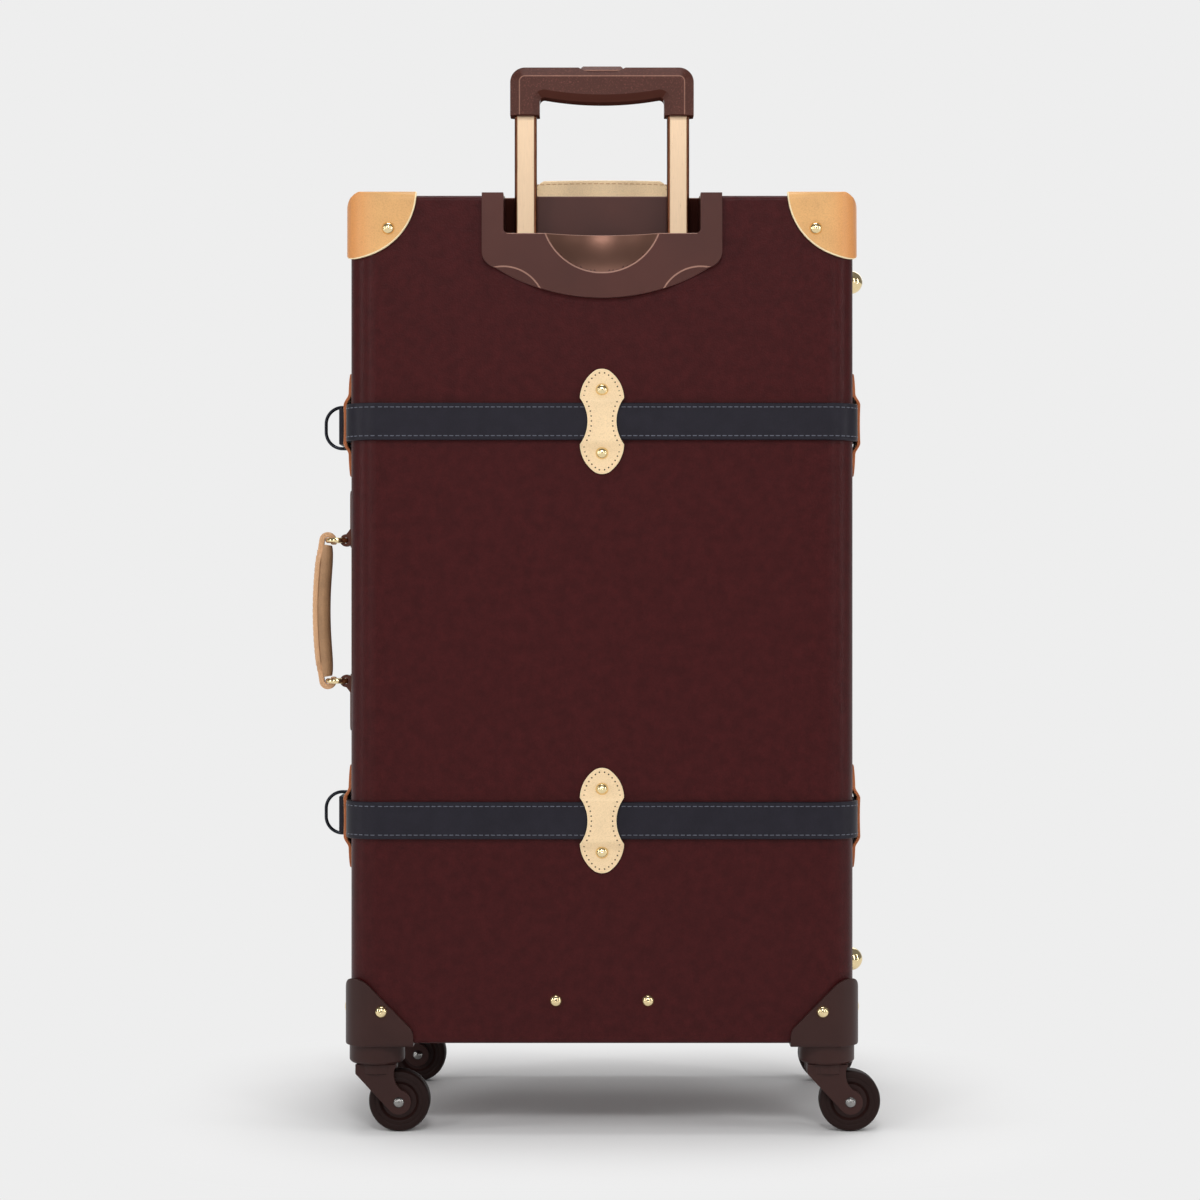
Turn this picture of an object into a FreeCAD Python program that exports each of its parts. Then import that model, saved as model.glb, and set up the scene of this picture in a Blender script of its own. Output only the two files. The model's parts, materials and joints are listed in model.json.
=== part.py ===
import FreeCAD, Part
import math
import os

os.makedirs("parts", exist_ok=True)
V = FreeCAD.Vector
AXES = (V(1, 0, 0), V(0, 1, 0), V(0, 0, 1))

# Millimetres. Origin on the floor under the middle of the case, +Z up.
# The trolley side (the back) faces -Y, the lid faces +Y, the carry handle is on -X.

# Case
CASE_W = 410.0  # width
CASE_H = 687.5  # height of the case itself
CASE_D = 270.0  # depth over both halves
FLOOR_GAP = 74.5  # floor to the underside of the case
TRAY_D = 150.0  # depth of the back half
SHELL_T = 4.0  # board with its cover
EDGE_R = 22.0  # upright edges
CORNER_R = 10.5  # corners seen from the back
LIP_R = 4.0  # top and bottom edges
PART_GAP = 0.6  # between the two halves

# Clearances
SEAT = 0.15  # between a piece and what it sits on
FIT = 0.1  # round a shank or a pressed-in piece
PIN_RUN = 0.06  # round a turning pin
RUN = 0.5  # between pieces that slide or turn past each other

# Rims and linings
RIM_T = 2.0
RIM_GAP = 0.6
RIM_DEPTH = 18.0
TONGUE = 8.0
LID_RIM_DEPTH = 25.0
LINING_T = 1.5
LINING_GAP = 0.3
TROLLEY_SPACE = 41.0  # back face to the tray's lining

# Dome rivets, screws and feet
RIVET_R = 5.2
RIVET_H = 4.0
SHANK_R = 2.0
SHANK_IN = 3.0  # shank in the shell
LOW_RIVET_H = 1.2  # rivets on the sides of the case
LEAF_RIVET_R = 2.4
LEAF_RIVET_H = 1.2
LEAF_SHANK_R = 1.2
FOOT_R = 9.5
FOOT_H = 9.8
FOOT_FLAT_R = 2.0
FOOT_SHANK_R = 2.5
FOOT_FROM_BACK = 40.0
FOOT_FROM_TOP = 66.0
FOOT_FROM_BOTTOM = 63.5

# Tan corner caps
CAP_T = 3.2
CAP_R = 55.0
CAP_RIVET_SIDE = 32.0
CAP_RIVET_TOP = 27.3

# Bottom corner brackets and casters
BRACKET_T = 4.4
BRACKET_FLOOR_T = 2.2
BRACKET_W = 57.0
BRACKET_H = 55.0
BRACKET_TOE = 13.0  # upright end of the slanted edge
BRACKET_HEEL = 15.5  # level end of the slanted edge
BRACKET_TOE_R = 13.0
BRACKET_HEEL_R = 22.0
BRACKET_CORNER_R = 5.5  # lower outer corner seen from the back
BRACKET_RIVET = 26.5
SWIVEL_SIDE = 21.0  # swivel axis from the side face
SWIVEL_END = 24.0  # swivel axis from the back or front face
COLLAR_R = 22.6
COLLAR_H = 15.6
COLLAR_CHAMFER = 2.0
KINGPIN_R = 4.0
KINGPIN_HEAD_R = 5.5
KINGPIN_HEAD_H = 2.0
KINGPIN_FLANGE_R = 8.0
KINGPIN_FLANGE_H = 2.6
WHEEL_R = 25.0
WHEEL_W = 18.0
WHEEL_ROUND = 3.0
HUB_R = 15.5
HUB_BOSS_R = 7.0
HUB_DEPTH = 2.5
TRAIL = 18.5  # swivel axis to axle
FORK_TOP_R = 16.8
FORK_TOP_H = 7.8
FORK_ARM_T = 4.0
FORK_SIDE_GAP = 1.0
FORK_BOSS_R = 10.0
FORK_WAIST = 14.6  # hollow of the trailing edge from the swivel axis
FORK_WAIST_DROP = 8.7
WHEEL_GAP = 1.3
AXLE_R = 3.0
AXLE_HEAD_R = 4.4
AXLE_HEAD_H = 2.4

# Straps, keepers and D-rings
STRAP_W = 30.0
STRAP_T = 4.0
STRAP_FROM_TOP = 183.5
STRAP_FROM_BOTTOM = 181.0
STRAP_STOP = 8.0  # strap ends from the parting line at the hinge side
KEEPER_HALF = 42.6
KEEPER_TIP = 41.2
KEEPER_TIP_W = 5.6
KEEPER_LOBE = 33.8
KEEPER_LOBE_W = 13.0
KEEPER_SHOULDER = 18.8
KEEPER_SHOULDER_W = 17.9
KEEPER_WAIST_W = 11.7
KEEPER_T = 3.0
KEEPER_RIVET = 25.5
KEEPER_SLOPE = 0.8  # run of its step over the strap, for each unit of height
KEEPER_BEND = 0.9  # the step's outer face past its inner face
KEEPER_FROM_BACK = 46.0
RING_WIRE_R = 1.4
D_FROM_BACK = 80.0
D_HALF = 17.35
D_REACH = 22.6
D_INNER_R = 2.0
D_OUTER_R = 14.0
LOOP_R = 4.0
TIP_STAND = 10.0  # threaded strap end from the side face
TIP_PAST = 20.0
RAMP_START = 10.0
RAMP_RUN = 55.0

# Carry handles
RING_R = 7.8
HANDLE_WIRE_R = 2.2
HANDLE_WIRE_GAP = 0.4
SIDE_RING_STAND = 16.0  # ring axis from the wall
TOP_RING_STAND = 13.0
SIDE_RING_HALF = 58.6
TOP_RING_HALF = 66.0
SIDE_HANDLE_FROM_BACK = 66.0
SIDE_HANDLE_UP = 6.85  # its middle above the middle of the case
TOP_HANDLE_FROM_BACK = 95.0
TOP_HANDLE_TILT = 86.0
HANDLE_W = 20.0
HANDLE_TONGUE_W = 8.0
HANDLE_PAST_RING = 8.5
HANDLE_OUTER = 19.5
HANDLE_OUTER_END = 11.0
HANDLE_INNER = 5.5
HANDLE_INNER_END = 4.0
HANDLE_TAPER_IN = 15.0
HANDLE_TAPER_OUT = 7.5
TAB_W = 24.0
TAB_T = 4.0
TAB_LENGTH = 41.0
TAB_NECK = 21.0  # from the ring to where the tab lies flat
TAB_NECK_HOLLOW = 0.35  # how far the neck's edge bends in
TAB_LOOP_R = 5.2
TAB_UNDER = 6.0
TAB_RIVET = 28.0

# Trolley
TUBE_X = 62.0
TUBE_FROM_BACK = 14.0
TUBE_W = 18.2
TUBE_D = 12.0
TUBE_R = 3.0
TUBE_WALL = 1.2
GUIDE_GAP = 0.35
GUIDE_WALL = 1.2
RAISED = 96.5  # trolley above its stowed place
TUBE_STOWED_FOOT = 240.0  # tube end above the floor when stowed
SLIDER_H = 30.0
SLIDER_GAP = 0.12
LEDGE_DROP = 31.3  # recess ledge below the case top
PLATE_T = 4.5
PLATE_HALF_W = 97.2
PLATE_RISE = 1.5
POCKET_WALL_RISE = 3.4  # back of the pocket above the case
PLATE_SIDE_DROP = 46.0
PLATE_CORNER_DROP = 59.0
PLATE_CORNER_IN = 10.5
PLATE_BEND_IN = 2.6  # middle of the corner arc from the plate's side
PLATE_BEND_DROP = 53.8
PLATE_DROP = 83.6
POCKET_HALF_W = 79.8
POCKET_D = 32.5
POCKET_R = 4.0
SLOT_DEEP = 9.0  # slots beside the tubes behind the back of the pocket
RECESS_WALL = 3.0
SCOOP_R = 49.0  # scoop rim circle in the face
SCOOP_RISE = 17.0  # its centre above the ledge
SCOOP_DEPTH = 14.0  # at the ledge
CRESCENT_R = 34.0
CRESCENT_X = 80.0
CRESCENT_DROP = 92.3
CRESCENT_OFF = 27.5
CRESCENT_DEPTH = 3.0
FOOT_BRACKET_UP = 25.5  # bottom bracket above the case floor
FOOT_BRACKET_H = 20.0
FOOT_BRACKET_IN = 12.0
FOOT_BRACKET_HALF_W = 80.0
FOOT_BRACKET_D = 21.0
FOOT_SCREW_X = 37.3
FOOT_SCREW_UP = 34.9

# Trolley grip and release
GRIP_HALF_W = 74.6
GRIP_H = 39.0
GRIP_D = 24.0
GRIP_LEG_W = 24.0
GRIP_UNDER = 14.7
GRIP_BELLY = 10.6
GRIP_TOP_R = 12.0
GRIP_LEG_R = 4.0
GRIP_BEVEL = 7.6  # on the faces
GRIP_BEVEL_DEEP = 4.5  # across the grip
GRIP_FLARE = 5.6  # bevel round the hand gap
SOCKET_DEPTH = 18.0
BUTTON_HALF_W = 17.0
BUTTON_D = 14.0
BUTTON_RISE = 1.6
BUTTON_DEEP = 6.5
BUTTON_TRAVEL = 3.5
BUTTON_CHAMFER = 1.6  # at its ends
BUTTON_SLOPE = 3.8  # height of its sloping faces
BUTTON_RIDGE = 4.0  # half width of its flat top
NOTCH_TOP = 19.0
NOTCH_BOTTOM = 11.3
NOTCH_DEEP = 4.6
YOKE_TOP = 13.5
YOKE_H = 4.0
YOKE_W = 6.0
ROD_R = 1.5

# Hinges and latches
HINGE_HALF = 25.0
HINGE_FROM_MIDDLE = 240.0
LEAF_T = 1.6
LEAF_W = 26.0
LEAF_RIVET_FROM_PIN = 15.6
LEAF_RIVET_FROM_MIDDLE = 15.0
KNUCKLE_R = 3.4
KNUCKLE_STAND = 3.6
KNUCKLE_HALF = 9.0
HINGE_PIN_R = 1.5
LATCH_FROM_MIDDLE = 115.0
LATCH_HALF = 17.0
LATCH_T = 7.0
LATCH_D = 25.5
LATCH_EDGE = 2.5
TONGUE_REACH = 13.0
TONGUE_HALF = 9.0
TONGUE_T = 1.8
TONGUE_STAND = 2.8
STRIKE_HALF = 14.0
STRIKE_D = 21.0
STRIKE_T = 5.0
LATCH_BUTTON_W = 6.7
LATCH_BUTTON_L = 9.0
LATCH_BUTTON_STAND = 2.5
LATCH_TRAVEL = 6.0
LATCH_CHANNEL = 1.4

# Places worked out from the sizes above
SIDE = CASE_W / 2
BACK = -CASE_D / 2
FRONT = CASE_D / 2
BOTTOM = FLOOR_GAP
TOP = FLOOR_GAP + CASE_H
MIDDLE = (BOTTOM + TOP) / 2
PART_Y = BACK + TRAY_D
TRAY_END = PART_Y - PART_GAP / 2
LID_END = PART_Y + PART_GAP / 2
FAR = CASE_W + CASE_H + CASE_D
LEDGE = TOP - LEDGE_DROP
TUBE_Y = BACK + TUBE_FROM_BACK
STRAP_Z = {"upper": TOP - STRAP_FROM_TOP, "lower": BOTTOM + STRAP_FROM_BOTTOM}
BRACKET_BOTTOM = BOTTOM - SEAT - BRACKET_FLOOR_T
COLLAR_BOTTOM = BRACKET_BOTTOM - COLLAR_H
FORK_TOP = COLLAR_BOTTOM - RUN
D_Y = BACK + D_FROM_BACK
D_BAR_X = -(SIDE + SEAT + LOOP_R)
POCKET_BACK = BACK + POCKET_D - PLATE_T
TUB_HALF_W = POCKET_HALF_W + RECESS_WALL
TUB_BACK = POCKET_BACK + RECESS_WALL
SLOT_X = TUBE_X + TUBE_W / 2 + RUN
SCOOP_Z = LEDGE + SCOOP_RISE
GUIDE_FOOT = BOTTOM + FOOT_BRACKET_UP + FOOT_BRACKET_H - FOOT_BRACKET_IN
GRIP_BASE = LEDGE + RUN + RAISED
GRIP_TOP = GRIP_BASE + GRIP_H
TUBE_FOOT = TUBE_STOWED_FOOT + RAISED
HINGE_X = SIDE + KNUCKLE_STAND
LATCH_Y0 = PART_Y - LATCH_EDGE - LATCH_D
LATCH_Y1 = PART_Y - LATCH_EDGE
CHANNEL_Y0 = LATCH_Y0 + LATCH_EDGE
CHANNEL_Y1 = CHANNEL_Y0 + LATCH_BUTTON_W + 2 * RUN
HINGE_Z = [MIDDLE - HINGE_FROM_MIDDLE, MIDDLE, MIDDLE + HINGE_FROM_MIDDLE]
LATCH_Z = {"upper": MIDDLE + LATCH_FROM_MIDDLE, "lower": MIDDLE - LATCH_FROM_MIDDLE}
FOOT_Z = [BOTTOM + FOOT_FROM_BOTTOM, TOP - FOOT_FROM_TOP]

# Outward direction and upward direction of each face of the case
FACES = {
    "back": (V(0, -1, 0), V(0, 0, 1)),
    "front": (V(0, 1, 0), V(0, 0, 1)),
    "left": (V(-1, 0, 0), V(0, 0, 1)),
    "right": (V(1, 0, 0), V(0, 0, 1)),
    "top": (V(0, 0, 1), V(1, 0, 0)),
}


def box(x0, x1, y0, y1, z0, z1):
    return Part.makeBox(x1 - x0, y1 - y0, z1 - z0, V(x0, y0, z0))


def rounded(x0, x1, y0, y1, z0, z1, axis, radius):
    """Box whose four edges along one axis are rounded."""
    solid = box(x0, x1, y0, y1, z0, z1)
    along = [e for e in solid.Edges if abs(e.tangentAt(e.FirstParameter).dot(AXES[axis])) > 0.9]
    return solid.makeFillet(radius, along)


def join(*solids):
    return solids[0].fuse(list(solids[1:])).removeSplitter()


def polygon_prism(points, direction):
    """Solid from a closed list of corner points, pushed along a direction."""
    return Part.Face(Part.makePolygon(points + points[:1])).extrude(direction)


def place(solid, face, origin):
    """Turn a solid drawn as (sideways, outward, up) onto a face of the case."""
    out, up = FACES[face]
    side = out.cross(up)
    turn = FreeCAD.Matrix(
        side.x, out.x, up.x, origin.x,
        side.y, out.y, up.y, origin.y,
        side.z, out.z, up.z, origin.z,
        0, 0, 0, 1,
    )
    moved = solid.copy()
    moved.Placement = FreeCAD.Placement(turn).multiply(moved.Placement)
    return moved


def export(name, *solids):
    shape = solids[0] if len(solids) == 1 else Part.makeCompound(list(solids))
    shape.exportStep("parts/" + name + ".step")


def case_form(grow, corner=CORNER_R):
    """The outer form of the closed case, grown or shrunk by an offset."""
    low = (-SIDE - grow, BACK - grow, BOTTOM - grow)
    high = (SIDE + grow, FRONT + grow, TOP + grow)
    radii = (max(LIP_R + grow, SEAT), corner + grow, EDGE_R + grow)
    forms = [rounded(low[0], high[0], low[1], high[1], low[2], high[2], a, radii[a]) for a in range(3)]
    return forms[2].common(forms[1]).common(forms[0])


def mouth_ring(outer, inner, y0, y1):
    """Band inside the mouth of a half, between two insets from the outer face."""
    rings = []
    for inset in (outer, inner):
        x, z0, z1 = SIDE - inset, BOTTOM + inset, TOP - inset
        rings.append(rounded(-x, x, y0, y1, z0, z1, 1, CORNER_R - inset))
    return rings[0].cut(rings[1])


def dome(radius, height):
    ball = (radius**2 + height**2) / (2 * height)
    start = math.degrees(math.asin((ball - height) / ball))
    cap = Part.makeSphere(ball, V(0, 0, 0), V(0, 0, 1), start, 90, 360)
    cap.translate(V(0, 0, height - ball))
    cap.rotate(V(0, 0, 0), V(1, 0, 0), -90)
    return cap


def stud(head, shank_radius, shank_length):
    shank = Part.makeCylinder(shank_radius, shank_length, V(0, 0, 0), V(0, -1, 0))
    return join(head, shank)


class Fasteners:
    """Rivets of one half of the case, with the holes that they need."""

    def __init__(self):
        self.studs = []
        self.holes = []

    def add(self, face, point, leather, size="dome"):
        radius, height, shank = {
            "dome": (RIVET_R, RIVET_H, SHANK_R),
            "low": (RIVET_R, LOW_RIVET_H, SHANK_R),
            "leaf": (LEAF_RIVET_R, LEAF_RIVET_H, LEAF_SHANK_R),
        }[size]
        depth = leather + SEAT + SHANK_IN
        self.studs.append(place(stud(dome(radius, height), shank, depth), face, point))
        hole = Part.makeCylinder(shank + FIT, depth + FIT, V(0, 0, 0), V(0, -1, 0))
        self.holes.append(place(hole, face, point))

    def drill(self, solid):
        near = [h for h in self.holes if h.BoundBox.intersect(solid.BoundBox)]
        return solid.cut(near) if near else solid


def corner_cap(sx, sy, fasteners):
    out = SEAT + CAP_T
    corner = V(sx * SIDE, sy * FRONT, TOP + out)
    cap = case_form(out).cut(case_form(SEAT)).common(Part.makeSphere(CAP_R, corner))
    face = "back" if sy < 0 else "front"
    x = sx * (SIDE - CAP_RIVET_SIDE)
    fasteners.add(face, V(x, sy * (FRONT + out), TOP - CAP_RIVET_TOP), CAP_T)
    fasteners.add("top", V(x, sy * (FRONT - CAP_RIVET_SIDE), TOP + out), CAP_T)
    return cap


def bracket_outline():
    """Edge of a bottom bracket on one face, as (inward, up) from its outer corner."""
    return [
        (-BRACKET_T, 0),
        (BRACKET_W, 0),
        (BRACKET_W, BRACKET_TOE),
        (BRACKET_HEEL, BRACKET_H),
        (-BRACKET_T, BRACKET_H),
    ]


def bracket_prism(sx, sy, axis):
    """Outline of a bracket pushed through the case along X or Y, its slant rounded off."""
    reach = SIDE + SEAT + BRACKET_T
    depth = FRONT + SEAT + BRACKET_T
    points = []
    for inward, up in bracket_outline():
        z = BRACKET_BOTTOM + up
        if axis == 1:
            points.append(V(sx * (reach - inward), -FAR, z))
        else:
            points.append(V(-FAR, sy * (depth - inward), z))
    prism = polygon_prism(points, AXES[axis] * (2 * FAR))
    for up, radius in ((BRACKET_TOE, BRACKET_TOE_R), (BRACKET_H, BRACKET_HEEL_R)):
        edges = []
        for e in prism.Edges:
            p = e.Vertexes[0].Point
            inward = reach - sx * p.x if axis == 1 else depth - sy * p.y
            lengthwise = abs(e.tangentAt(e.FirstParameter).dot(AXES[axis])) > 0.9
            if lengthwise and abs(p.z - BRACKET_BOTTOM - up) < SEAT and inward > 0:
                edges.append(e)
        prism = prism.makeFillet(radius, edges)
    return prism


def swivel_point(sx, sy):
    return V(sx * (SIDE - SWIVEL_SIDE), sy * (FRONT - SWIVEL_END), 0)


def bracket(sx, sy, fasteners):
    form = case_form(SEAT + BRACKET_T, BRACKET_CORNER_R - SEAT - BRACKET_T)
    skin = form.cut(case_form(SEAT))
    skin = skin.common(bracket_prism(sx, sy, 1)).common(bracket_prism(sx, sy, 0))
    axis = swivel_point(sx, sy)
    collar = Part.makeCylinder(COLLAR_R, COLLAR_H + BRACKET_FLOOR_T / 2, axis + V(0, 0, COLLAR_BOTTOM))
    low = [e for e in collar.Edges if abs(e.CenterOfMass.z - COLLAR_BOTTOM) < SEAT]
    collar = collar.makeChamfer(COLLAR_CHAMFER, low)
    bore = Part.makeCylinder(KINGPIN_R + FIT, FAR, axis)
    seat = V(0, 0, BOTTOM - SEAT - KINGPIN_FLANGE_H - FIT)
    flange = Part.makeCylinder(KINGPIN_FLANGE_R + FIT, KINGPIN_FLANGE_H + FIT + SEAT, axis + seat)
    out = SEAT + BRACKET_T
    face = "back" if sy < 0 else "front"
    x = sx * (SIDE - BRACKET_RIVET)
    fasteners.add(face, V(x, sy * (FRONT + out), BOTTOM + BRACKET_RIVET), BRACKET_T)
    wall = "left" if sx < 0 else "right"
    y = sy * (FRONT - BRACKET_RIVET)
    fasteners.add(wall, V(sx * (SIDE + out), y, BOTTOM + BRACKET_RIVET), BRACKET_T, "low")
    return join(skin, collar).cut([bore, flange])


def kingpin(sx, sy):
    axis = swivel_point(sx, sy)
    foot = FORK_TOP - FORK_TOP_H
    top = BOTTOM - SEAT
    pin = Part.makeCylinder(KINGPIN_R, top - foot, axis + V(0, 0, foot))
    head = Part.makeCylinder(KINGPIN_HEAD_R, KINGPIN_HEAD_H, axis + V(0, 0, foot))
    flange_z = top - KINGPIN_FLANGE_H
    flange = Part.makeCylinder(KINGPIN_FLANGE_R, KINGPIN_FLANGE_H, axis + V(0, 0, flange_z))
    return join(pin, head, flange)


def fork():
    """Caster fork about its swivel axis, the wheel trailing to +X."""
    inner = WHEEL_W / 2 + FORK_SIDE_GAP
    outer = inner + FORK_ARM_T
    edge = FORK_BOSS_R * math.sqrt(0.5)
    knee = FORK_TOP - FORK_TOP_H
    tail = V(TRAIL + edge, 0, WHEEL_R + edge)
    corners = [
        V(FORK_TOP_R, 0, FORK_TOP),
        V(-FORK_TOP_R, 0, FORK_TOP),
        V(-FORK_TOP_R, 0, knee),
        V(TRAIL - edge, 0, WHEEL_R - edge),
        tail,
    ]
    outline = [Part.LineSegment(a, b) for a, b in zip(corners, corners[1:])]
    outline.append(Part.Arc(tail, V(FORK_WAIST, 0, FORK_TOP - FORK_WAIST_DROP), corners[0]))
    plate = Part.Face(Part.Wire([c.toShape() for c in outline]))
    arms = []
    for y in (-outer, inner):
        arm = plate.extrude(V(0, FORK_ARM_T, 0))
        arm.translate(V(0, y, 0))
        boss = Part.makeCylinder(FORK_BOSS_R, FORK_ARM_T, V(TRAIL, y, WHEEL_R), V(0, 1, 0))
        arms += [arm, boss]
    crown = Part.makeCylinder(FORK_TOP_R, FORK_TOP_H, V(0, 0, knee))
    well = Part.makeCylinder(WHEEL_R + WHEEL_GAP, 2 * inner, V(TRAIL, -inner, WHEEL_R), V(0, 1, 0))
    bore = Part.makeCylinder(KINGPIN_R + PIN_RUN, FAR, V(0, 0, 0))
    head = KINGPIN_HEAD_H + RUN
    sink = Part.makeCylinder(KINGPIN_HEAD_R + RUN, head, V(0, 0, knee))
    axle = Part.makeCylinder(AXLE_R + FIT, 2 * outer, V(TRAIL, -outer, WHEEL_R), V(0, 1, 0))
    return join(crown, *arms).cut([well, bore, sink, axle])


def wheel():
    centre = V(TRAIL, -WHEEL_W / 2, WHEEL_R)
    tyre = Part.makeCylinder(WHEEL_R, WHEEL_W, centre, V(0, 1, 0))
    tyre = tyre.makeFillet(WHEEL_ROUND, [e for e in tyre.Edges if len(e.Vertexes) == 1])
    cuts = [Part.makeCylinder(AXLE_R + PIN_RUN, WHEEL_W, centre, V(0, 1, 0))]
    for start in (0, WHEEL_W - HUB_DEPTH):
        low = centre + V(0, start, 0)
        dish = Part.makeCylinder(HUB_R, HUB_DEPTH, low, V(0, 1, 0))
        cuts.append(dish.cut(Part.makeCylinder(HUB_BOSS_R, HUB_DEPTH, low, V(0, 1, 0))))
    return tyre.cut(cuts)


def axle_pin():
    half = WHEEL_W / 2 + FORK_SIDE_GAP + FORK_ARM_T
    pin = Part.makeCylinder(AXLE_R, 2 * half, V(TRAIL, -half, WHEEL_R), V(0, 1, 0))
    heads = []
    for sign in (-1, 1):
        head = dome(AXLE_HEAD_R, AXLE_HEAD_H)
        if sign < 0:
            head.rotate(V(0, 0, 0), V(0, 0, 1), 180)
        head.translate(V(TRAIL, sign * half, WHEEL_R))
        heads.append(head)
    return join(pin, *heads)


def strap_ring(z):
    rings = []
    for grow in (SEAT + STRAP_T, SEAT):
        x, y = SIDE + grow, FRONT + grow
        low, high = z - STRAP_W / 2, z + STRAP_W / 2
        rings.append(rounded(-x, x, -y, y, low, high, 2, EDGE_R + grow))
    return rings[0].cut(rings[1])


def tray_strap(z):
    """Back strap: from the hinge side round the back to its loop for the D-ring."""
    low, high = z - STRAP_W / 2, z + STRAP_W / 2
    keep_right = box(0, FAR, -FAR, PART_Y - STRAP_STOP, low, high)
    keep_left = box(-FAR, 0, -FAR, D_Y, low, high)
    loop = Part.makeCylinder(LOOP_R, STRAP_W, V(D_BAR_X, D_Y, low))
    bore = Part.makeCylinder(RING_WIRE_R + PIN_RUN, STRAP_W, V(D_BAR_X, D_Y, low))
    band = strap_ring(z).common(join(keep_right, keep_left))
    return join(band, loop).cut(bore)


def lid_strap(z):
    """Front strap: from the hinge side round the front, its end threaded through the D-ring."""
    low, high = z - STRAP_W / 2, z + STRAP_W / 2
    keep_right = box(0, FAR, PART_Y + STRAP_STOP, FAR, low, high)
    start = PART_Y + RAMP_START
    keep_left = box(-FAR, 0, start, FAR, low, high)
    near, far = SIDE + SEAT, SIDE + TIP_STAND
    flat = start - RAMP_RUN
    tip = D_Y - TIP_PAST
    end_points = [
        V(-near, start, low),
        V(-far, flat, low),
        V(-far, tip, low),
        V(-far - STRAP_T, tip, low),
        V(-far - STRAP_T, flat, low),
        V(-near - STRAP_T, start, low),
    ]
    end = polygon_prism(end_points, V(0, 0, STRAP_W))
    band = strap_ring(z).common(join(keep_right, keep_left))
    return join(band, end)


def d_ring(z):
    """Round wire bent to a D: its straight bar in the strap loop, its bow outward."""
    corners = [(0, -D_HALF), (D_REACH, -D_HALF), (D_REACH, D_HALF), (0, D_HALF)]
    radii = [D_INNER_R, D_OUTER_R, D_OUTER_R, D_INNER_R]
    edges = []
    for i, (reach, up) in enumerate(corners):
        r = radii[i]
        into = -1 if reach else 1
        turn = 1 if up < 0 else -1
        level = V(D_BAR_X - reach - into * r, D_Y, z + up)
        upright = V(D_BAR_X - reach, D_Y, z + up + turn * r)
        bend = r * (1 - math.sqrt(0.5))
        mid = V(D_BAR_X - reach - into * bend, D_Y, z + up + turn * bend)
        first, last = (upright, level) if i % 2 == 0 else (level, upright)
        edges.append((first, mid, last))
    wires = []
    for i, (first, mid, last) in enumerate(edges):
        wires.append(Part.Arc(first, mid, last).toShape())
        wires.append(Part.LineSegment(last, edges[(i + 1) % 4][0]).toShape())
    path = Part.Wire(wires)
    start = edges[0][0]
    section = Part.Wire(Part.Circle(start, V(0, 0, 1), RING_WIRE_R).toShape())
    return path.makePipeShell([section], True, False)


def keeper():
    """Bow-tie strap keeper as (sideways, outward, up), its ends on the wall."""
    over = STRAP_T + 2 * SEAT
    strap = STRAP_W / 2 + SEAT
    slope = over * KEEPER_SLOPE
    half = [
        (KEEPER_HALF, SEAT),
        (strap + slope, SEAT),
        (strap, over + SEAT),
    ]
    under = half + [(-u, n) for u, n in reversed(half)]
    upper = [(u + math.copysign(KEEPER_BEND, u), n + KEEPER_T) for u, n in under[1:-1]]
    upper = [(KEEPER_HALF, SEAT + KEEPER_T)] + upper + [(-KEEPER_HALF, SEAT + KEEPER_T)]
    loop = under + list(reversed(upper))
    band = polygon_prism([V(-KEEPER_HALF, n, u) for u, n in loop], V(2 * KEEPER_HALF, 0, 0))
    arcs = []
    for up in (1, -1):
        shoulder, lobe, tip = [
            [V(up * side * w, 0, up * z) for side in (1, -1)]
            for w, z in (
                (KEEPER_SHOULDER_W, KEEPER_SHOULDER),
                (KEEPER_LOBE_W, KEEPER_LOBE),
                (KEEPER_TIP_W, KEEPER_TIP),
            )
        ]
        arcs.append(Part.Arc(shoulder[0], lobe[0], tip[0]))
        arcs.append(Part.Arc(tip[0], V(0, 0, up * KEEPER_HALF), tip[1]))
        arcs.append(Part.Arc(tip[1], lobe[1], shoulder[1]))
        waist = V(-up * KEEPER_WAIST_W, 0, 0)
        arcs.append(Part.Arc(shoulder[1], waist, V(shoulder[1].x, 0, -shoulder[1].z)))
    outline = Part.Face(Part.Wire([a.toShape() for a in arcs])).extrude(V(0, KEEPER_HALF, 0))
    return band.common(outline)


def keepers(places, fasteners):
    solids = []
    for face, point in places:
        solids.append(place(keeper(), face, point))
        out = FACES[face][0] * (SEAT + KEEPER_T)
        for sign in (-1, 1):
            size = "low" if face in ("left", "right") else "dome"
            fasteners.add(face, point + out + V(0, 0, sign * KEEPER_RIVET), KEEPER_T, size)
    return [fasteners.drill(s) for s in solids]


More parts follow.
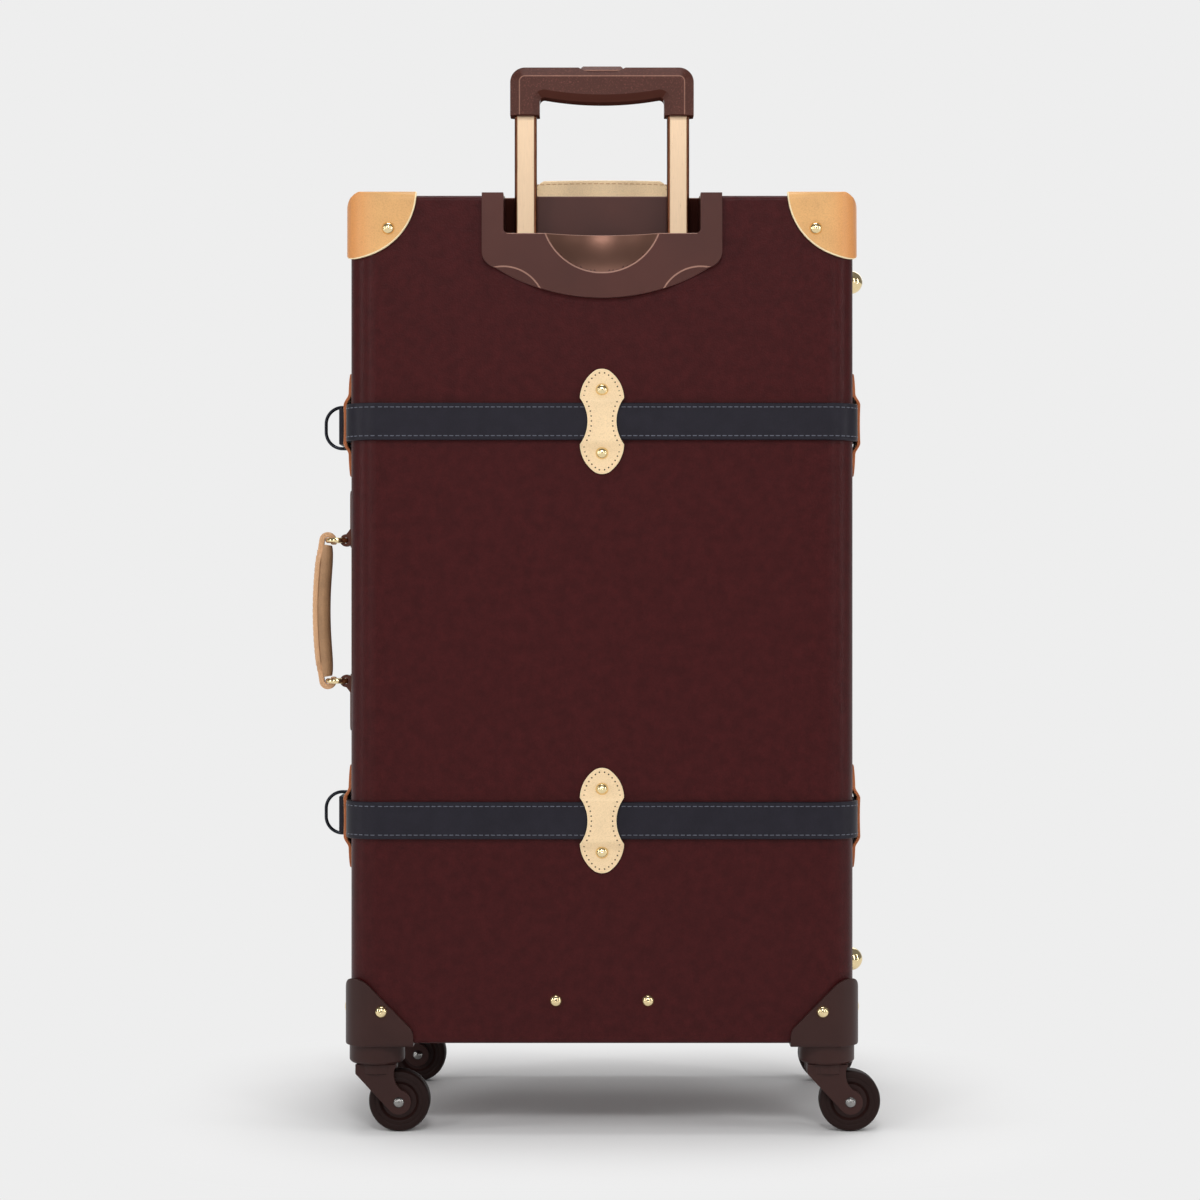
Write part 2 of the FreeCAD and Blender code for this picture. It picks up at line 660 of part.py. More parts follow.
def handle_grip(ring_half):
    """Leather handle as (sideways, outward, along), its rings' axis through the origin."""
    end = ring_half + HANDLE_PAST_RING
    outline = [
        Part.Arc(V(0, HANDLE_OUTER_END, -end), V(0, HANDLE_OUTER, 0), V(0, HANDLE_OUTER_END, end)),
        Part.LineSegment(V(0, HANDLE_OUTER_END, end), V(0, HANDLE_INNER_END, end)),
        Part.Arc(V(0, HANDLE_INNER_END, end), V(0, HANDLE_INNER, 0), V(0, HANDLE_INNER_END, -end)),
        Part.LineSegment(V(0, HANDLE_INNER_END, -end), V(0, HANDLE_OUTER_END, -end)),
    ]
    face = Part.Face(Part.Wire([c.toShape() for c in outline]))
    face.translate(V(-HANDLE_W / 2, 0, 0))
    bar = face.extrude(V(HANDLE_W, 0, 0))
    wide, slim = HANDLE_W / 2, HANDLE_TONGUE_W / 2
    shoulder, neck = ring_half - HANDLE_TAPER_IN, ring_half - HANDLE_TAPER_OUT
    quarter = [(wide, shoulder), (slim, neck), (slim, end)]
    right = [(x, -u) for x, u in reversed(quarter)] + quarter
    plan = right + [(-x, u) for x, u in reversed(right)]
    form = bar.common(polygon_prism([V(x, 0, u) for x, u in plan], V(0, FAR, 0)))
    holes = []
    for sign in (-1, 1):
        wire = HANDLE_WIRE_R + HANDLE_WIRE_GAP
        holes.append(Part.makeTorus(RING_R, wire, V(0, 0, sign * ring_half), V(0, 0, 1)))
    return form.cut(holes)


def handle_rings(ring_half):
    centres = [V(0, 0, -ring_half), V(0, 0, ring_half)]
    return [Part.makeTorus(RING_R, HANDLE_WIRE_R, c, V(0, 0, 1)) for c in centres]


def tab_neck(wall, ring_half, slim):
    """Part of a tab that rises from the wall to the ring, its edge bent in."""
    foot = V(-slim, wall, ring_half + TAB_NECK)
    head = V(-slim, -RING_R, ring_half + TAB_LOOP_R)
    bend = V(-slim, wall + (head.y - wall) * TAB_NECK_HOLLOW, (foot.z + head.z) / 2)
    low, high = V(-slim, wall, ring_half), V(-slim, -RING_R, ring_half)
    outline = [
        Part.LineSegment(low, foot),
        Part.Arc(foot, bend, head),
        Part.LineSegment(head, high),
        Part.LineSegment(high, low),
    ]
    return Part.Face(Part.Wire([c.toShape() for c in outline])).extrude(V(2 * slim, 0, 0))


def handle_tab(ring_half, stand, sign):
    """Leather tab that holds one ring: a riveted strip with a loop round the wire."""
    wall = -stand + SEAT
    half = TAB_W / 2
    near, far = ring_half - TAB_UNDER, ring_half + TAB_LENGTH
    strip = rounded(-half, half, wall, wall + TAB_T, near, far, 1, half / 2)
    slim = HANDLE_TONGUE_W / 2
    loop = Part.makeCylinder(TAB_LOOP_R, 2 * slim, V(-slim, -RING_R, ring_half), V(1, 0, 0))
    neck = tab_neck(wall, ring_half, slim)
    wire = HANDLE_WIRE_R + HANDLE_WIRE_GAP
    hole = Part.makeTorus(RING_R, wire, V(0, 0, ring_half), V(0, 0, 1))
    tab = join(strip, loop, neck).cut(hole)
    if sign < 0:
        tab.rotate(V(0, 0, 0), V(0, 1, 0), 180)
    return tab


def carry_handle(name, face, foot, stand, ring_half, tilt, fasteners):
    out, along = FACES[face]
    axis_point = foot + out * stand
    grip = handle_grip(ring_half)
    grip.rotate(V(0, 0, 0), V(0, 0, 1), tilt)
    export(name + "_handle_grip", place(grip, face, axis_point))
    export(name + "_handle_rings", *[place(r, face, axis_point) for r in handle_rings(ring_half)])
    tabs = [place(handle_tab(ring_half, stand, sign), face, axis_point) for sign in (-1, 1)]
    for sign in (-1, 1):
        point = foot + along * (sign * (ring_half + TAB_RIVET))
        fasteners.add(face, point + out * (TAB_T + SEAT), TAB_T, "low")
    export(name + "_handle_tabs", *[fasteners.drill(t) for t in tabs])


def side_foot(y, z):
    """Dome foot on the right side with a small worn flat at its tip."""
    ball = (FOOT_R**2 + FOOT_H**2) / (2 * FOOT_H)
    flat = FOOT_H - ball + math.sqrt(ball**2 - FOOT_FLAT_R**2)
    head = dome(FOOT_R, FOOT_H).common(box(-FAR, FAR, 0, flat, -FAR, FAR))
    solid = stud(head, FOOT_SHANK_R, SEAT + SHANK_IN)
    point = V(SIDE + SEAT, y, z)
    hole = Part.makeCylinder(FOOT_SHANK_R + FIT, SHANK_IN + 2 * SEAT, V(0, 0, 0), V(0, -1, 0))
    return place(solid, "right", point), place(hole, "right", point)


def tube_form(x, grow, z0, z1):
    half_w, half_d = TUBE_W / 2 + grow, TUBE_D / 2 + grow
    return rounded(x - half_w, x + half_w, TUBE_Y - half_d, TUBE_Y + half_d, z0, z1, 2, TUBE_R + grow)


def recess_plate():
    """Face plate of the trolley recess: straight sides, rounded corners, bowed lower edge."""
    w = PLATE_HALF_W
    top, side = TOP + PLATE_RISE, TOP - PLATE_SIDE_DROP
    corner_x, corner_z = w - PLATE_CORNER_IN, TOP - PLATE_CORNER_DROP
    low = TOP - PLATE_DROP
    bend_x, bend_z = w - PLATE_BEND_IN, TOP - PLATE_BEND_DROP
    y = BACK - SEAT

    def at(x, z):
        return V(x, y, z)

    outline = [
        Part.LineSegment(at(-w, top), at(-w, side)),
        Part.Arc(at(-w, side), at(-bend_x, bend_z), at(-corner_x, corner_z)),
        Part.Arc(at(-corner_x, corner_z), at(0, low), at(corner_x, corner_z)),
        Part.Arc(at(corner_x, corner_z), at(bend_x, bend_z), at(w, side)),
        Part.LineSegment(at(w, side), at(w, top)),
        Part.LineSegment(at(w, top), at(-w, top)),
    ]
    face = Part.Face(Part.Wire([c.toShape() for c in outline]))
    return face.extrude(V(0, -PLATE_T, 0))


def shallow_ball(rim, off, depth, x, z, grow):
    """Ball that leaves a round of radius rim in the plate's face, a set depth at a distance off."""
    front = (rim**2 - off**2 - depth**2) / (2 * depth)
    face = BACK - SEAT - PLATE_T
    return Part.makeSphere(math.hypot(rim, front) + grow, V(x, face - front, z))


def scoop_space():
    """Room behind the face for the wall of the finger scoop."""
    drop = SCOOP_R - SCOOP_RISE
    return box(-SCOOP_R, SCOOP_R, BACK - SEAT, TUB_BACK, LEDGE - drop, LEDGE)


def slots(grow, top):
    """The two deep slots beside the tubes, or with some growth the walls round them."""
    x0, x1 = SLOT_X - grow, POCKET_HALF_W + grow
    deep = POCKET_BACK + SLOT_DEEP + grow
    sides = [sorted((sign * x0, sign * x1)) for sign in (-1, 1)]
    return [box(*side, POCKET_BACK - RUN, deep, LEDGE - grow, top) for side in sides]


def trolley_recess():
    front = BACK - SEAT - PLATE_T
    top = TOP + PLATE_RISE
    flange = box(-PLATE_HALF_W, PLATE_HALF_W, front, TUB_BACK + RECESS_WALL, TOP + SEAT, top)
    tub = box(-TUB_HALF_W, TUB_HALF_W, BACK - SEAT, TUB_BACK, LEDGE - RECESS_WALL, top)
    bowl = shallow_ball(SCOOP_R, SCOOP_RISE, SCOOP_DEPTH, 0, SCOOP_Z, RECESS_WALL)
    wall_top = TOP + POCKET_WALL_RISE
    wall = box(-TUB_HALF_W, TUB_HALF_W, POCKET_BACK, TUB_BACK, LEDGE, wall_top)
    walls = slots(RECESS_WALL, wall_top)
    shell = join(recess_plate(), flange, tub, wall, *walls, bowl.common(scoop_space()))
    w = POCKET_HALF_W
    cuts = [
        rounded(-w, w, front, POCKET_BACK, LEDGE, top + 2 * POCKET_R, 1, POCKET_R),
        shallow_ball(SCOOP_R, SCOOP_RISE, SCOOP_DEPTH, 0, SCOOP_Z, 0),
        *slots(0, wall_top),
    ]
    for sign in (-1, 1):
        ball = (CRESCENT_R, CRESCENT_OFF, CRESCENT_DEPTH)
        cuts.append(shallow_ball(*ball, sign * CRESCENT_X, TOP - CRESCENT_DROP, 0))
        cuts.append(tube_form(sign * TUBE_X, RUN, LEDGE - RECESS_WALL, LEDGE))
    return shell.cut(cuts)


def recess_opening():
    """What the recess needs cut out of the tray's back and top."""
    tub = box(
        -TUB_HALF_W - SEAT, TUB_HALF_W + SEAT, BACK, TUB_BACK + SEAT, LEDGE - RECESS_WALL - SEAT, TOP
    )
    bowl = shallow_ball(SCOOP_R, SCOOP_RISE, SCOOP_DEPTH, 0, SCOOP_Z, RECESS_WALL + SEAT)
    return join(tub, *slots(RECESS_WALL + SEAT, TOP), bowl.common(scoop_space()))


def guide_tubes():
    top = LEDGE - RECESS_WALL - SEAT
    tubes = []
    for x in (-TUBE_X, TUBE_X):
        outer = tube_form(x, GUIDE_GAP + GUIDE_WALL, GUIDE_FOOT, top)
        tubes.append(outer.cut(tube_form(x, GUIDE_GAP, GUIDE_FOOT, top)))
    return tubes


def foot_bracket():
    low = BOTTOM + FOOT_BRACKET_UP
    y0 = BACK + SHELL_T + SEAT
    half = FOOT_BRACKET_HALF_W
    block = box(-half, half, y0, y0 + FOOT_BRACKET_D, low, low + FOOT_BRACKET_H)
    grow = GUIDE_GAP + GUIDE_WALL + FIT
    cuts = [tube_form(x, grow, GUIDE_FOOT - FIT, FAR) for x in (-TUBE_X, TUBE_X)]
    return block.cut(cuts)


def foot_screws():
    depth = SHELL_T + FOOT_BRACKET_IN
    shapes = []
    for sign in (-1, 1):
        point = V(sign * FOOT_SCREW_X, BACK - SEAT, BOTTOM + FOOT_SCREW_UP)
        hole = Part.makeCylinder(SHANK_R + FIT, depth + FIT, V(0, 0, 0), V(0, -1, 0))
        screw = stud(dome(RIVET_R, RIVET_H), SHANK_R, depth)
        shapes.append((place(screw, "back", point), place(hole, "back", point)))
    return [s for s, h in shapes], [h for s, h in shapes]


def grip_wire(inset, y):
    """Outline of the grip before its hand gap is cut: upright ends, rounded shoulders."""
    w, r, top = GRIP_HALF_W - inset, GRIP_TOP_R - inset, GRIP_TOP - inset
    bend = r * (1 - math.sqrt(0.5))
    corners = [V(-w, y, GRIP_BASE), V(-w, y, top - r), V(-w + r, y, top)]
    corners += [V(w - r, y, top), V(w, y, top - r), V(w, y, GRIP_BASE)]
    outline = [
        Part.LineSegment(corners[0], corners[1]),
        Part.Arc(corners[1], V(-w + bend, y, top - bend), corners[2]),
        Part.LineSegment(corners[2], corners[3]),
        Part.Arc(corners[3], V(w - bend, y, top - bend), corners[4]),
        Part.LineSegment(corners[4], corners[5]),
        Part.LineSegment(corners[5], corners[0]),
    ]
    return Part.Wire([c.toShape() for c in outline])


def grip_block():
    """Grip before its hand gap is cut, bevelled towards both faces."""
    outer = GRIP_D / 2
    inner = outer - GRIP_BEVEL_DEEP
    middle = Part.Face(grip_wire(0, TUBE_Y - inner)).extrude(V(0, 2 * inner, 0))
    bevels = []
    for sign in (-1, 1):
        rim, face = grip_wire(0, TUBE_Y + sign * inner), grip_wire(GRIP_BEVEL, TUBE_Y + sign * outer)
        bevels.append(Part.makeLoft([rim, face], True, True))
    return join(middle, *bevels)


def gap_wire(grow, y):
    """Outline of the hand gap under the grip: a bowed top between rounded corners."""
    w, r = GRIP_HALF_W - GRIP_LEG_W + grow, GRIP_LEG_R + grow
    under, low = GRIP_BASE + GRIP_UNDER + grow, GRIP_BASE - GRIP_BEVEL
    bend = r * (1 - math.sqrt(0.5))
    belly = V(0, y, GRIP_BASE + GRIP_BELLY + grow)
    outline = [
        Part.LineSegment(V(-w, y, low), V(-w, y, under - r)),
        Part.Arc(V(-w, y, under - r), V(-w + bend, y, under - bend), V(-w + r, y, under)),
        Part.Arc(V(-w + r, y, under), belly, V(w - r, y, under)),
        Part.Arc(V(w - r, y, under), V(w - bend, y, under - bend), V(w, y, under - r)),
        Part.LineSegment(V(w, y, under - r), V(w, y, low)),
        Part.LineSegment(V(w, y, low), V(-w, y, low)),
    ]
    return Part.Wire([c.toShape() for c in outline])


def hand_gap():
    outer, inner = GRIP_D / 2, GRIP_D / 2 - GRIP_BEVEL_DEEP
    through = Part.Face(gap_wire(0, TUBE_Y - outer)).extrude(V(0, GRIP_D, 0))
    flares = []
    for sign in (-1, 1):
        near = gap_wire(0, TUBE_Y + sign * inner)
        rim = gap_wire(GRIP_FLARE, TUBE_Y + sign * outer)
        flares.append(Part.makeLoft([near, rim], True, True))
    return [through] + flares


def trolley_grip():
    body = grip_block().cut(hand_gap())
    well_half, well_d = BUTTON_HALF_W + RUN, BUTTON_D / 2 + RUN
    well_floor = GRIP_TOP - BUTTON_DEEP - BUTTON_TRAVEL - RUN
    well = box(-well_half, well_half, TUBE_Y - well_d, TUBE_Y + well_d, well_floor, GRIP_TOP)
    notch = [
        V(-NOTCH_TOP, -FAR, GRIP_TOP),
        V(-NOTCH_BOTTOM, -FAR, GRIP_TOP - NOTCH_DEEP),
        V(NOTCH_BOTTOM, -FAR, GRIP_TOP - NOTCH_DEEP),
        V(NOTCH_TOP, -FAR, GRIP_TOP),
    ]
    slot = YOKE_W / 2 + RUN
    reach = TUBE_X + YOKE_W / 2 + RUN
    yoke_floor = GRIP_TOP - YOKE_TOP - YOKE_H - BUTTON_TRAVEL - RUN
    yoke_roof = GRIP_TOP - YOKE_TOP + RUN
    yoke_space = box(-reach, reach, TUBE_Y - slot, TUBE_Y + slot, yoke_floor, yoke_roof)
    stem = box(-slot, slot, TUBE_Y - slot, TUBE_Y + slot, yoke_floor, well_floor)
    cuts = [well, polygon_prism(notch, V(0, 2 * FAR, 0)), yoke_space, stem]
    for x in (-TUBE_X, TUBE_X):
        cuts.append(tube_form(x, FIT, GRIP_BASE, GRIP_BASE + SOCKET_DEPTH))
        cuts.append(Part.makeCylinder(ROD_R + RUN, yoke_roof - GRIP_BASE, V(x, TUBE_Y, GRIP_BASE)))
    return body.cut(cuts)


def trolley_tubes():
    tubes = []
    for x in (-TUBE_X, TUBE_X):
        top = GRIP_BASE + SOCKET_DEPTH - FIT
        outer = tube_form(x, 0, TUBE_FOOT, top)
        tubes.append(outer.cut(tube_form(x, -TUBE_WALL, TUBE_FOOT, top)))
    return tubes


def tube_sliders():
    """Plastic plugs in the tube ends that run in the guide tubes."""
    plugs = []
    for x in (-TUBE_X, TUBE_X):
        shoe = tube_form(x, GUIDE_GAP - SLIDER_GAP, TUBE_FOOT - SLIDER_H, TUBE_FOOT - SEAT)
        spigot = tube_form(x, -TUBE_WALL - FIT, TUBE_FOOT - SLIDER_H, TUBE_FOOT + SLIDER_H)
        bore = Part.makeCylinder(ROD_R + RUN, FAR, V(x, TUBE_Y, TUBE_FOOT))
        plugs.append(join(shoe, spigot).cut(bore))
    return plugs


def release_button():
    half_d = BUTTON_D / 2
    low, high = GRIP_TOP - BUTTON_DEEP, GRIP_TOP + BUTTON_RISE
    w, end = BUTTON_HALF_W, BUTTON_HALF_W - BUTTON_CHAMFER
    profile = [
        V(-w, TUBE_Y - half_d, low),
        V(-w, TUBE_Y - half_d, high - BUTTON_SLOPE),
        V(-w, TUBE_Y - BUTTON_RIDGE, high),
        V(-w, TUBE_Y + BUTTON_RIDGE, high),
        V(-w, TUBE_Y + half_d, high - BUTTON_SLOPE),
        V(-w, TUBE_Y + half_d, low),
    ]
    ends = [
        V(-w, TUBE_Y - half_d, low),
        V(-w, TUBE_Y - half_d, high - BUTTON_CHAMFER),
        V(-end, TUBE_Y - half_d, high),
        V(end, TUBE_Y - half_d, high),
        V(w, TUBE_Y - half_d, high - BUTTON_CHAMFER),
        V(w, TUBE_Y - half_d, low),
    ]
    cap = polygon_prism(profile, V(2 * w, 0, 0)).common(polygon_prism(ends, V(0, BUTTON_D, 0)))
    half = YOKE_W / 2
    stem = box(-half, half, TUBE_Y - half, TUBE_Y + half, GRIP_TOP - YOKE_TOP, low)
    return join(cap, stem)


def release_yoke():
    half = YOKE_W / 2
    top = GRIP_TOP - YOKE_TOP
    reach = TUBE_X + half
    bar = box(-reach, reach, TUBE_Y - half, TUBE_Y + half, top - YOKE_H, top)
    foot = TUBE_FOOT + BUTTON_TRAVEL + RUN
    rods = [Part.makeCylinder(ROD_R, top - foot, V(x, TUBE_Y, foot)) for x in (-TUBE_X, TUBE_X)]
    return join(bar, *rods)


def hinge_leaf(z, on_lid):
    """One leaf on the right side with its knuckles; the lid's knuckle is the middle one."""
    sign = 1 if on_lid else -1
    gap = PART_GAP / 2
    y0, y1 = sorted((PART_Y + sign * gap, PART_Y + sign * LEAF_W))
    leaf = box(SIDE + SEAT, SIDE + SEAT + LEAF_T, y0, y1, z - HINGE_HALF, z + HINGE_HALF)
    middle = (-KNUCKLE_HALF, KNUCKLE_HALF)
    lower = (-HINGE_HALF, -KNUCKLE_HALF - RUN)
    upper = (KNUCKLE_HALF + RUN, HINGE_HALF)
    own, other = ([middle], [lower, upper]) if on_lid else ([lower, upper], [middle])
    axis = V(HINGE_X, PART_Y, z)
    room = []
    for low, high in other:
        start, length = axis + V(0, 0, low - RUN), high - low + 2 * RUN
        room.append(Part.makeCylinder(KNUCKLE_R + RUN, length, start))
    knuckles = [Part.makeCylinder(KNUCKLE_R, b - a, axis + V(0, 0, a)) for a, b in own]
    bore = Part.makeCylinder(HINGE_PIN_R + PIN_RUN, 2 * HINGE_HALF, axis - V(0, 0, HINGE_HALF))
    return join(leaf.cut(room), *knuckles).cut(bore)


def hinge_pin(z):
    return Part.makeCylinder(HINGE_PIN_R, 2 * HINGE_HALF, V(HINGE_X, PART_Y, z - HINGE_HALF))


def on_left(y0, y1, out0, out1, z0, z1):
    """Box on the left side, given by its distances out from the wall."""
    return box(-SIDE - out1, -SIDE - out0, y0, y1, z0, z1)


def latch_case(z):
    case = on_left(LATCH_Y0, LATCH_Y1, SEAT, LATCH_T, z - LATCH_HALF, z + LATCH_HALF)
    slot_y = PART_Y - TONGUE_REACH - RUN
    low, high = TONGUE_STAND - RUN, TONGUE_STAND + TONGUE_T + RUN
    half = TONGUE_HALF + RUN
    slot = on_left(slot_y, LATCH_Y1, low, high, z - half, z + half)
    run = (LATCH_BUTTON_L + LATCH_TRAVEL) / 2 + RUN
    channel = on_left(CHANNEL_Y0, CHANNEL_Y1, LATCH_T - LATCH_CHANNEL, LATCH_T, z - run, z + run)
    return case.cut([slot, channel])


def latch_tongue(z):
    y0, y1 = PART_Y + LATCH_EDGE, PART_Y + LATCH_EDGE + STRIKE_D
    strike = on_left(y0, y1, SEAT, STRIKE_T, z - STRIKE_HALF, z + STRIKE_HALF)
    high = TONGUE_STAND + TONGUE_T
    tongue = on_left(
        PART_Y - TONGUE_REACH, y1, TONGUE_STAND, high, z - TONGUE_HALF, z + TONGUE_HALF
    )
    return join(strike, tongue)


def latch_button(z):
    start = z - (LATCH_BUTTON_L + LATCH_TRAVEL) / 2
    low, high = LATCH_T - LATCH_CHANNEL + RUN, LATCH_T + LATCH_BUTTON_STAND
    y0, y1 = CHANNEL_Y0 + RUN, CHANNEL_Y1 - RUN
    return on_left(y0, y1, low, high, start, start + LATCH_BUTTON_L)


def hinge_rivets(sign, fasteners):
    for z in HINGE_Z:
        for up in (-1, 1):
            y = PART_Y + sign * LEAF_RIVET_FROM_PIN
            point = V(SIDE + SEAT + LEAF_T, y, z + up * LEAF_RIVET_FROM_MIDDLE)
            fasteners.add("right", point, LEAF_T, "leaf")


def halves():
    """Corner caps, brackets, swivel pins and casters, two of each on either half."""
    fasteners = {}
    for half, sy in (("back", -1), ("front", 1)):
        rivets = Fasteners()
        caps = [corner_cap(sx, sy, rivets) for sx in (-1, 1)]
        brackets = {name: bracket(sx, sy, rivets) for name, sx in (("left", -1), ("right", 1))}
        export("corner_caps_" + half, *[rivets.drill(c) for c in caps])
        export("swivel_pins_" + half, *[kingpin(sx, sy) for sx in (-1, 1)])
        for name, sx in (("left", -1), ("right", 1)):
            spot = half + "_" + name
            export("wheel_bracket_" + spot, rivets.drill(brackets[name]))
            for piece, solid in (("fork_", fork()), ("wheel_", wheel()), ("axle_", axle_pin())):
                solid.translate(swivel_point(sx, sy))
                export(piece + spot, solid)
        fasteners[half] = rivets
    return fasteners


def build():
    fasteners = halves()
    tray_rivets, lid_rivets = fasteners["back"], fasteners["front"]

    keeper_y = BACK + KEEPER_FROM_BACK
    back_places = []
    front_places = []
    for z in STRAP_Z.values():
        back_places.append(("back", V(0, BACK, z)))
        back_places.append(("left", V(-SIDE, keeper_y, z)))
        back_places.append(("right", V(SIDE, keeper_y, z)))
        front_places.append(("front", V(0, FRONT, z)))
    export("strap_keepers_back", *keepers(back_places, tray_rivets))
    export("strap_keepers_front", *keepers(front_places, lid_rivets))
    for name, z in STRAP_Z.items():
        export("strap_" + name + "_back", tray_strap(z))
        export("strap_" + name + "_front", lid_strap(z))
        export("d_ring_" + name, d_ring(z))

    side_tab_point = V(-SIDE, BACK + SIDE_HANDLE_FROM_BACK, MIDDLE + SIDE_HANDLE_UP)
    carry_handle("side", "left", side_tab_point, SIDE_RING_STAND, SIDE_RING_HALF, 0, tray_rivets)
    top_tab_point = V(0, BACK + TOP_HANDLE_FROM_BACK, TOP)
    carry_handle("top", "top", top_tab_point, TOP_RING_STAND, TOP_RING_HALF, TOP_HANDLE_TILT, tray_rivets)

    hinge_rivets(-1, tray_rivets)
    hinge_rivets(1, lid_rivets)
    export("hinge_leaves_tray", *[tray_rivets.drill(hinge_leaf(z, False)) for z in HINGE_Z])
    export("hinge_leaves_lid", *[lid_rivets.drill(hinge_leaf(z, True)) for z in HINGE_Z])
    export("hinge_pins", *[hinge_pin(z) for z in HINGE_Z])
    export("latch_cases", *[latch_case(z) for z in LATCH_Z.values()])
    export("latch_tongues", *[latch_tongue(z) for z in LATCH_Z.values()])
    for name, z in LATCH_Z.items():
        export("latch_button_" + name, latch_button(z))

    feet_back = [side_foot(BACK + FOOT_FROM_BACK, z) for z in FOOT_Z]
    feet_front = [side_foot(FRONT - FOOT_FROM_BACK, z) for z in FOOT_Z]
    export("side_feet_back", *[solid for solid, hole in feet_back])
    export("side_feet_front", *[solid for solid, hole in feet_front])
    export("tray_rivets", *tray_rivets.studs)
    export("lid_rivets", *lid_rivets.studs)

    screws, screw_holes = foot_screws()
    export("trolley_foot_screws", *screws)
    export("trolley_foot_bracket", foot_bracket().cut(screw_holes))
    export("trolley_recess", trolley_recess())
    export("guide_tubes", *guide_tubes())
    export("trolley_grip", trolley_grip())
    export("trolley_tubes", *trolley_tubes())
    export("tube_sliders", *tube_sliders())
    export("release_button", release_button())
    export("release_yoke", release_yoke())

    outer, inner = case_form(0), case_form(-SHELL_T)
    shell = outer.cut(inner)
    tray = shell.common(box(-FAR, FAR, -FAR, TRAY_END, -FAR, FAR)).cut(recess_opening())
    tray = tray.cut(screw_holes + [hole for solid, hole in feet_back])
    export("tray_shell", tray_rivets.drill(tray))
    lid = shell.common(box(-FAR, FAR, LID_END, FAR, -FAR, FAR))
    lid = lid.cut([hole for solid, hole in feet_front])
    export("lid_shell", lid_rivets.drill(lid))

    inside = SHELL_T + RIM_T
    tongue_out = inside + RIM_GAP
    tongue_in = tongue_out + RIM_T
    seat = mouth_ring(SHELL_T + SEAT, tongue_in, PART_Y - RIM_DEPTH, TRAY_END)
    tongue = mouth_ring(tongue_out, tongue_in, TRAY_END, PART_Y + TONGUE)
    export("tray_rim", join(seat, tongue))
    export("lid_rim", mouth_ring(SHELL_T + SEAT, inside, LID_END, PART_Y + LID_RIM_DEPTH))

    inset = SHELL_T + LINING_GAP
    lining_back = BACK + TROLLEY_SPACE
    walls = mouth_ring(inset, inset + LINING_T, lining_back, PART_Y - RIM_DEPTH - LINING_GAP)
    x, z0, z1 = SIDE - inset, BOTTOM + inset, TOP - inset
    panel = rounded(-x, x, lining_back, lining_back + LINING_T, z0, z1, 1, CORNER_R - inset)
    export("tray_lining", join(walls, panel))
    skin = case_form(-inset).cut(case_form(-inset - LINING_T))
    lid_room = box(-FAR, FAR, PART_Y + LID_RIM_DEPTH + LINING_GAP, FAR, -FAR, FAR)
    export("lid_lining", skin.common(lid_room))


build()
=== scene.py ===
import json
import math

import bmesh
import bpy
from mathutils import Matrix, Vector


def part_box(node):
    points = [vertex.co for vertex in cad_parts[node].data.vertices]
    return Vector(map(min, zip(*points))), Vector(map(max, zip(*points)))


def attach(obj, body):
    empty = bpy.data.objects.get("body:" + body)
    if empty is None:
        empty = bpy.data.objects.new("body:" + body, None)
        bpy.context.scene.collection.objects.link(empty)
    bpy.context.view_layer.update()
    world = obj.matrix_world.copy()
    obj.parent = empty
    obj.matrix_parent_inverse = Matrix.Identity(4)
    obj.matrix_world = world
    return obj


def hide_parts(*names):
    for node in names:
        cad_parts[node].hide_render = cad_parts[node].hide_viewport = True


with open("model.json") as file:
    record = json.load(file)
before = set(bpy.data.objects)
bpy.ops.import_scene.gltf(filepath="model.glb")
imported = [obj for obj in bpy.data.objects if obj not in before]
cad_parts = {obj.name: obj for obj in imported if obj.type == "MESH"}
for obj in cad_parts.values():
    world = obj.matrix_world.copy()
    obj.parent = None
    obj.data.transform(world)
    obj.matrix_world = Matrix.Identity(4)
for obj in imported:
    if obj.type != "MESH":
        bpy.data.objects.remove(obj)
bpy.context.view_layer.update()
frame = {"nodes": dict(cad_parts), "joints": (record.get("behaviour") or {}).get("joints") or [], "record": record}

bl_info = {
    "name": "Strapped spinner suitcase",
    "version": (1, 0, 0),
    "blender": (4, 5, 0),
    "location": "View3D > Sidebar > Suitcase",
    "description": "Leather, trim, wheels and studio for the suitcase frame",
    "category": "Object",
}

MM = 0.001
ACROSS = Vector((1, 0, 0))
OUT = Vector((0, 1, 0))
UP = Vector((0, 0, 1))

# Places and names read from the frame
NODE_BODY = {n: body for body, nodes in frame["record"]["behaviour"]["bodies"].items() for n in nodes}
JOINTS = {j["name"]: j for j in frame["joints"]}
TRAY_LOW, TRAY_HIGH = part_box("tray_shell")
LID_LOW, LID_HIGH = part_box("lid_shell")
SIDE = TRAY_HIGH.x
BACK = TRAY_LOW.y
FRONT = LID_HIGH.y
TOP = TRAY_HIGH.z
PARTING = (TRAY_HIGH.y + LID_LOW.y) / 2
LEVELS = ("upper", "lower")
STRAP_Z = {level: sum(corner.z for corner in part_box(f"strap_{level}_back")) / 2 for level in LEVELS}
SPOTS = [f"{half}_{hand}" for half in ("back", "front") for hand in ("left", "right")]

# Sizes that the new pieces share with the frame's solids
SEAT = 0.15 * MM  # between a piece and what it sits on
EDGE_R = 22 * MM  # upright edges of the case
CAP_R = 55 * MM  # cut edge of a corner cap from its corner
RING_WIRE = 1.46 * MM  # bore for the bar of a D-ring
STRAP_LOOP = 4.0 * MM  # outside of a strap's loop round that bar
STRAP_STOP = 8 * MM  # strap ends from the parting line at the hinges
RAMP_START = 10 * MM  # front strap leaves the side, past the parting line
RAMP_RUN = 55 * MM
KEEPER_FROM_BACK = 46 * MM
TUBE_X = 62 * MM  # middle of a trolley tube
TUBE_FLAT = 6.4 * MM  # half of its flat face
TUBE_BLEND = 0.6 * MM
TOP_HANDLE_TILT = 86  # degrees that it lies over

